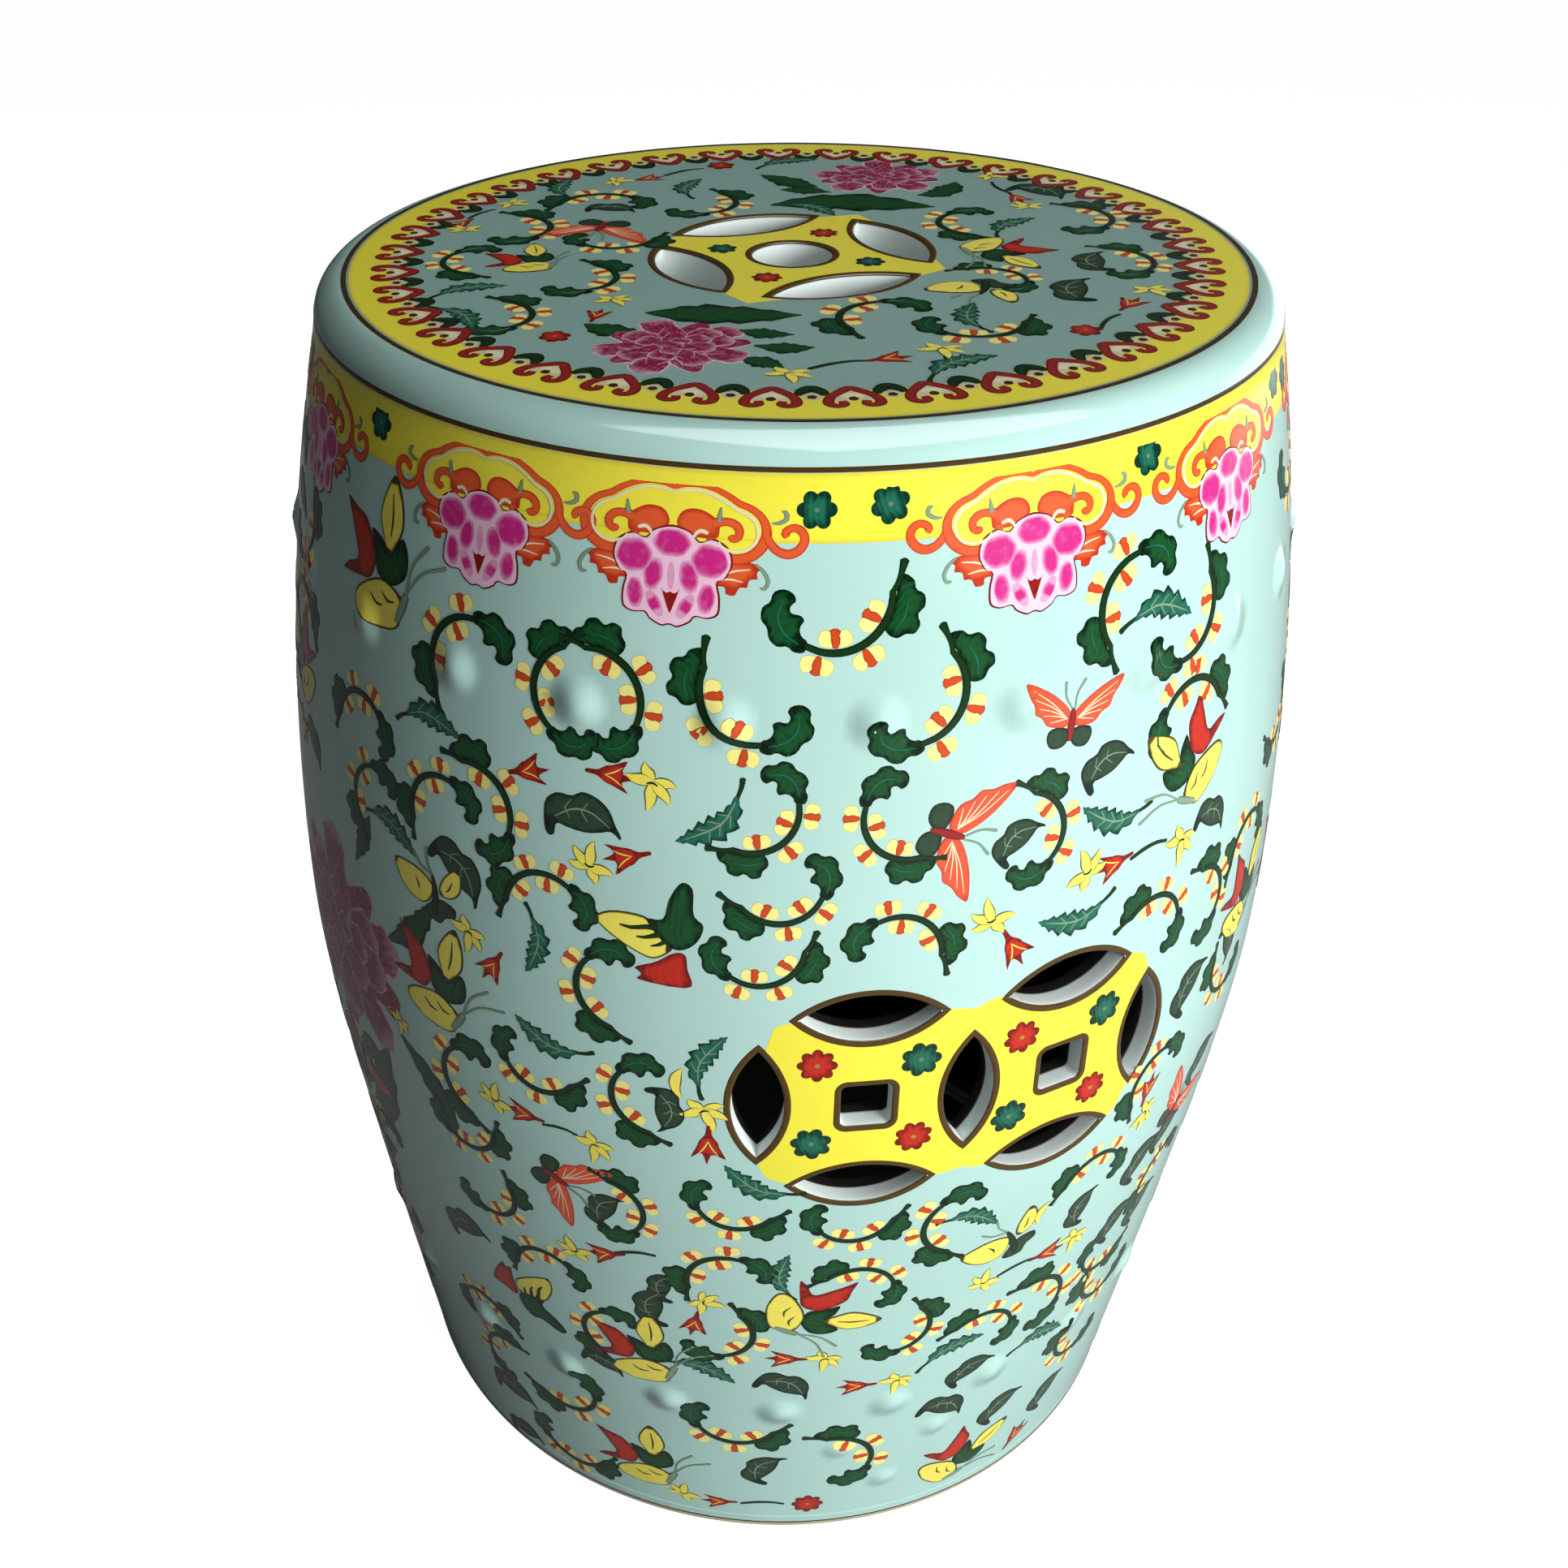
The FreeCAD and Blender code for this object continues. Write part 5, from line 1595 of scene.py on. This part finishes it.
# Dark leaves behind the peonies, as strokes: place and half width.
seatPeonyLeaves = [
    [(66, 36, 0.3), (54, 44, 9), (40, 52, 12.8), (26, 56, 9), (12, 57, 0.4)],
    [(36, 74, 0.5), (30, 82, 6.8), (26, 90, 5.2), (22, 97, 0.3)], [(38, 66, 0.5), (30, 72, 6), (22, 75, 0.3)],
    [(86, 64, 0.3), (82, 58, 5.2), (74, 52, 6), (66, 52, 0.4)],
    [(-82, -46, 0.3), (-78, -52, 6), (-72, -58, 5.2), (-68, -62, 0.4)],
    [(-62, -42, 0.3), (-52, -46, 8.2), (-42, -50, 10.5), (-30, -55, 7.5), (-18, -59, 0.4)],
    [(-40, -66, 0.5), (-34, -71, 5.2), (-26, -75, 0.3)], [(-40, -80, 0.5), (-32, -85, 5.4), (-24, -87, 0.3)],
    [(-48, -88, 0.5), (-42, -94, 5.2), (-38, -100, 0.3)],
]
# The peonies on the flanks, and their leaves as strokes from the middle.
sidePeony = {"azimuths": (-77, 103), "height": 250.0, "turn": 20.0, "size": 1.9, "leaves": [
    [(28, -34, 0.5), (20, -52, 9), (12, -72, 11), (2, -88, 7), (-6, -100, 0.5)],
    [(40, -20, 0.5), (52, -30, 6), (60, -42, 5.5), (64, -54, 0.4)],
    [(38, 20, 0.5), (50, 28, 6), (58, 38, 4.5), (62, 46, 0.4)],
    [(-6, -40, 0.5), (-16, -58, 8), (-24, -76, 6), (-30, -90, 0.4)], [(20, 42, 0.5), (26, 54, 5), (30, 64, 0.4)],
]}
# Parts of the front's layout that fill the flanks: azimuths taken, and how far round they are moved. Heights between
# which the layout belongs to the belly.
repeats = {"belly": (205, 300), "above": (-20, 42, 68), "beside": (-63, -27, 113)}


# ---- pressing the decoration on

def roundTheWall(places):
    # The front's layout is repeated behind, and parts of it fill the two flanks.
    places = fullPlaces(places)
    a, z = places[:, 0], places[:, 1]
    low, high = repeats["belly"]
    onBelly = (z > low) & (z < high)
    parts = [places]
    for (start, end, shift), rows in ((repeats["above"], ~onBelly), (repeats["beside"], onBelly)):
        parts.append(places[(a > start) & (a < end) & rows] + [shift, 0.0, 0.0, 0.0, 0.0])
    half = np.concatenate(parts)
    return np.concatenate([half, half + [180.0, 0.0, 0.0, 0.0, 0.0]])


def decorateWall():
    for paint, low, high, layer, steps in wallBands["bands"]:
        band(paint, low, high, layer, steps, wallRing, wallBands["columns"])
    lappet, hook = lappetStamp()
    places = [(a, lappets["height"]) for a in lappets["azimuths"]]
    press(lappet + hook, places, onWall)
    otherHook = [(paint, moved(shape, flip=True)) for paint, shape in hook]
    press(otherHook, [place for place in places if place[0] != lappets["cut"]], onWall)
    for stamp, places in (
            (blossomStamp("tealLeaves", 5.6, 6), tealBlossomPlaces), (scrollStamp(), wallScrolls),
            (mothStamp(), wallMoths), (yellowMothStamp(), wallYellowMoths),
            (threeColourStamp(), wallThreeColours), (fanStamp(), wallFans),
            (tealLeafStamp(), tealLeafPlaces), (podLeafStamp(), podLeafPlaces), (bladeStamp(), bladePlaces),
            (yellowFlowerStamp(), yellowFlowerPlaces), (redTulipStamp(), redTulipPlaces),
            (sprigStemStamp(), sprigStemPlaces), (blossomStamp("redPetals", 6.4, 8), redBlossomPlaces)):
        press(stamp, roundTheWall(places), onWall)
    for centre in panel["azimuths"]:
        coinPanel(centre)
    s = sidePeony
    press(peonyStamp(), [(a, s["height"], s["turn"], s["size"]) for a in s["azimuths"]], onWall)
    for leaf in s["leaves"]:
        press(peonyLeaf(leaf), [(a, s["height"]) for a in s["azimuths"]], onWall)


def decorateSeat():
    s = seatBorder
    turns = np.linspace(-180.0, 180.0, s["columns"], endpoint=False)
    inner = s["inner"] + s["wave"] * np.cos(np.radians(2.0 * s["pairs"] * (turns - s["start"])))
    band("yellowGround", inner, s["outer"], "ground", 4, seatRing, s["columns"])
    band("brownLines", s["line"][0], s["line"][1], "low", 2, seatRing, s["columns"])
    arch, joint = borderStamps()
    pitch = 360.0 / s["pairs"]
    for stamp, radius, shift in ((arch, s["arch"], 0.0), (joint, s["joint"], 0.5)):
        press(stamp, [(s["start"] + pitch * (k + shift), radius, 0.0, 1.0, -1) for k in range(s["pairs"])], onRim)
    for stamp, places in (
            (scrollStamp(), seatScrolls), (mothStamp(), seatMoths), (yellowMothStamp(), seatYellowMoths),
            (threeColourStamp(), seatThreeColours), (tealLeafStamp(), seatTealLeaves),
            (podLeafStamp(), seatPodLeaves), (yellowFlowerStamp(), seatYellowFlowers),
            (redTulipStamp(), seatRedTulips), (sprigStemStamp(), seatSprigStems),
            (blossomStamp("redPetals", 5.0, 6), seatRedBlossoms)):
        press(stamp, places, onSeat)
    for leaf in seatPeonyLeaves:
        press(peonyLeaf(leaf), [(0, 0)], onSeat)
    press(peonyStamp(), peonyPlaces, onSeat)
    seatCoin()


# ---- the studio

studio = {
    "aim": (0.0, 0.0, 0.25),
    # Each lamp: name, azimuth, elevation, distance, size, watts, and the rays that it is left out of.
    "lamps": (("windowKey", 25, 14, 1.7, (0.9, 0.8), 35, "glossy"), ("ceiling", 20, 76, 1.5, (1.5, 1.5), 7.5, ""),
              ("shoulderGlint", 25, 74, 1.5, (1.6, 1.5), 30, "diffuse"),
              ("sideWindow", 118, 2, 1.8, (2.2, 0.7), 8, "diffuse"),
              ("backFill", 150, 18, 1.9, (1.0, 0.8), 20, "glossy")),
    "black": (0.0, 0.0, 0.0, 1.0), "dim": (0.02, 0.02, 0.02, 1.0), "white": (1.0, 1.0, 1.0, 1.0),
    "floorHalf": 8, "floorGrey": (0.3, 0.3, 0.3, 1.0), "floorRoughness": 0.9,
    "glow": 0.97, "glowFrom": 0.14,   # strength of the floor's white, and the distance from the axis where it starts
}


def cameraRay(tree):
    return tree.nodes.new("ShaderNodeLightPath").outputs["Is Camera Ray"]


def whiteWorld():
    # White to the camera, nearly dark to everything else.
    world = bpy.data.worlds.new("studio")
    world.use_nodes = True
    bpy.context.scene.world = world
    tree = world.node_tree
    colour = blendNode(tree, cameraRay(tree), studio["dim"], studio["white"])
    feed(tree, tree.nodes["Background"].inputs["Color"], colour)


def whiteFloor():
    # A grey floor that glows white to the camera, apart from the stool's own footprint.
    s = studio
    mesh = bpy.data.meshes.new("floor")
    h = s["floorHalf"]
    mesh.from_pydata([(-h, -h, 0), (h, -h, 0), (h, h, 0), (-h, h, 0)], [], [(0, 1, 2, 3)])
    floor = bpy.data.objects.new("floor", mesh)
    bpy.context.scene.collection.objects.link(floor)
    paint = bpy.data.materials.new("floorPaint")
    paint.use_nodes = True
    tree = paint.node_tree
    place = tree.nodes.new("ShaderNodeTexCoord").outputs["Object"]
    outside = mathNode(tree, "GREATER_THAN", reachNode(tree, place, (1.0, 1.0, 1.0)), s["glowFrom"])
    share = mathNode(tree, "MULTIPLY", cameraRay(tree), outside)
    shader = tree.nodes["Principled BSDF"].inputs
    for label, value in (("Base Color", s["floorGrey"]), ("Roughness", s["floorRoughness"]),
                         ("Specular IOR Level", 0.0), ("Emission Strength", s["glow"]),
                         ("Emission Color", blendNode(tree, share, s["black"], s["white"]))):
        feed(tree, shader[label], value)
    mesh.materials.append(paint)
    return floor


# ---- the stool

lookFrom()
bpy.context.scene.view_settings.view_transform = "Standard"

foot, lowerSeam, upperSeam, collar = [barrel[k] for k in ("foot", "lowerSeam", "upperSeam", "collar")]
for name, heap, finish, nodes in (
        ("lower_barrel_glaze", barrelSkin(foot, lowerSeam), celadonGlaze, ("lower_barrel", "lower_studs")),
        ("belly_barrel_glaze", barrelSkin(lowerSeam, upperSeam, True), celadonGlaze, ("belly_barrel",)),
        ("upper_barrel_glaze", barrelSkin(upperSeam, collar), celadonGlaze, ("upper_barrel", "upper_studs")),
        ("seat_slab_glaze", seatSkin(), seatGlaze, ("seat_slab",))):
    heap.finish(name, finish, "celadon_glaze", nodes)
footSkin().finish("foot_ring_clay", footClay, "pale_foot_clay", ("foot_ring",))
print("skins made")
decorateWall()
print("wall painted")
decorateSeat()
print("seat painted")
for paint, enamel in paints.items():
    name, slot, material = palette[paint]
    enamel.finish(name, material, slot)

for lamp in studio["lamps"]:
    softLight(*lamp)
whiteWorld()
floor = whiteFloor()
print("studio lit")
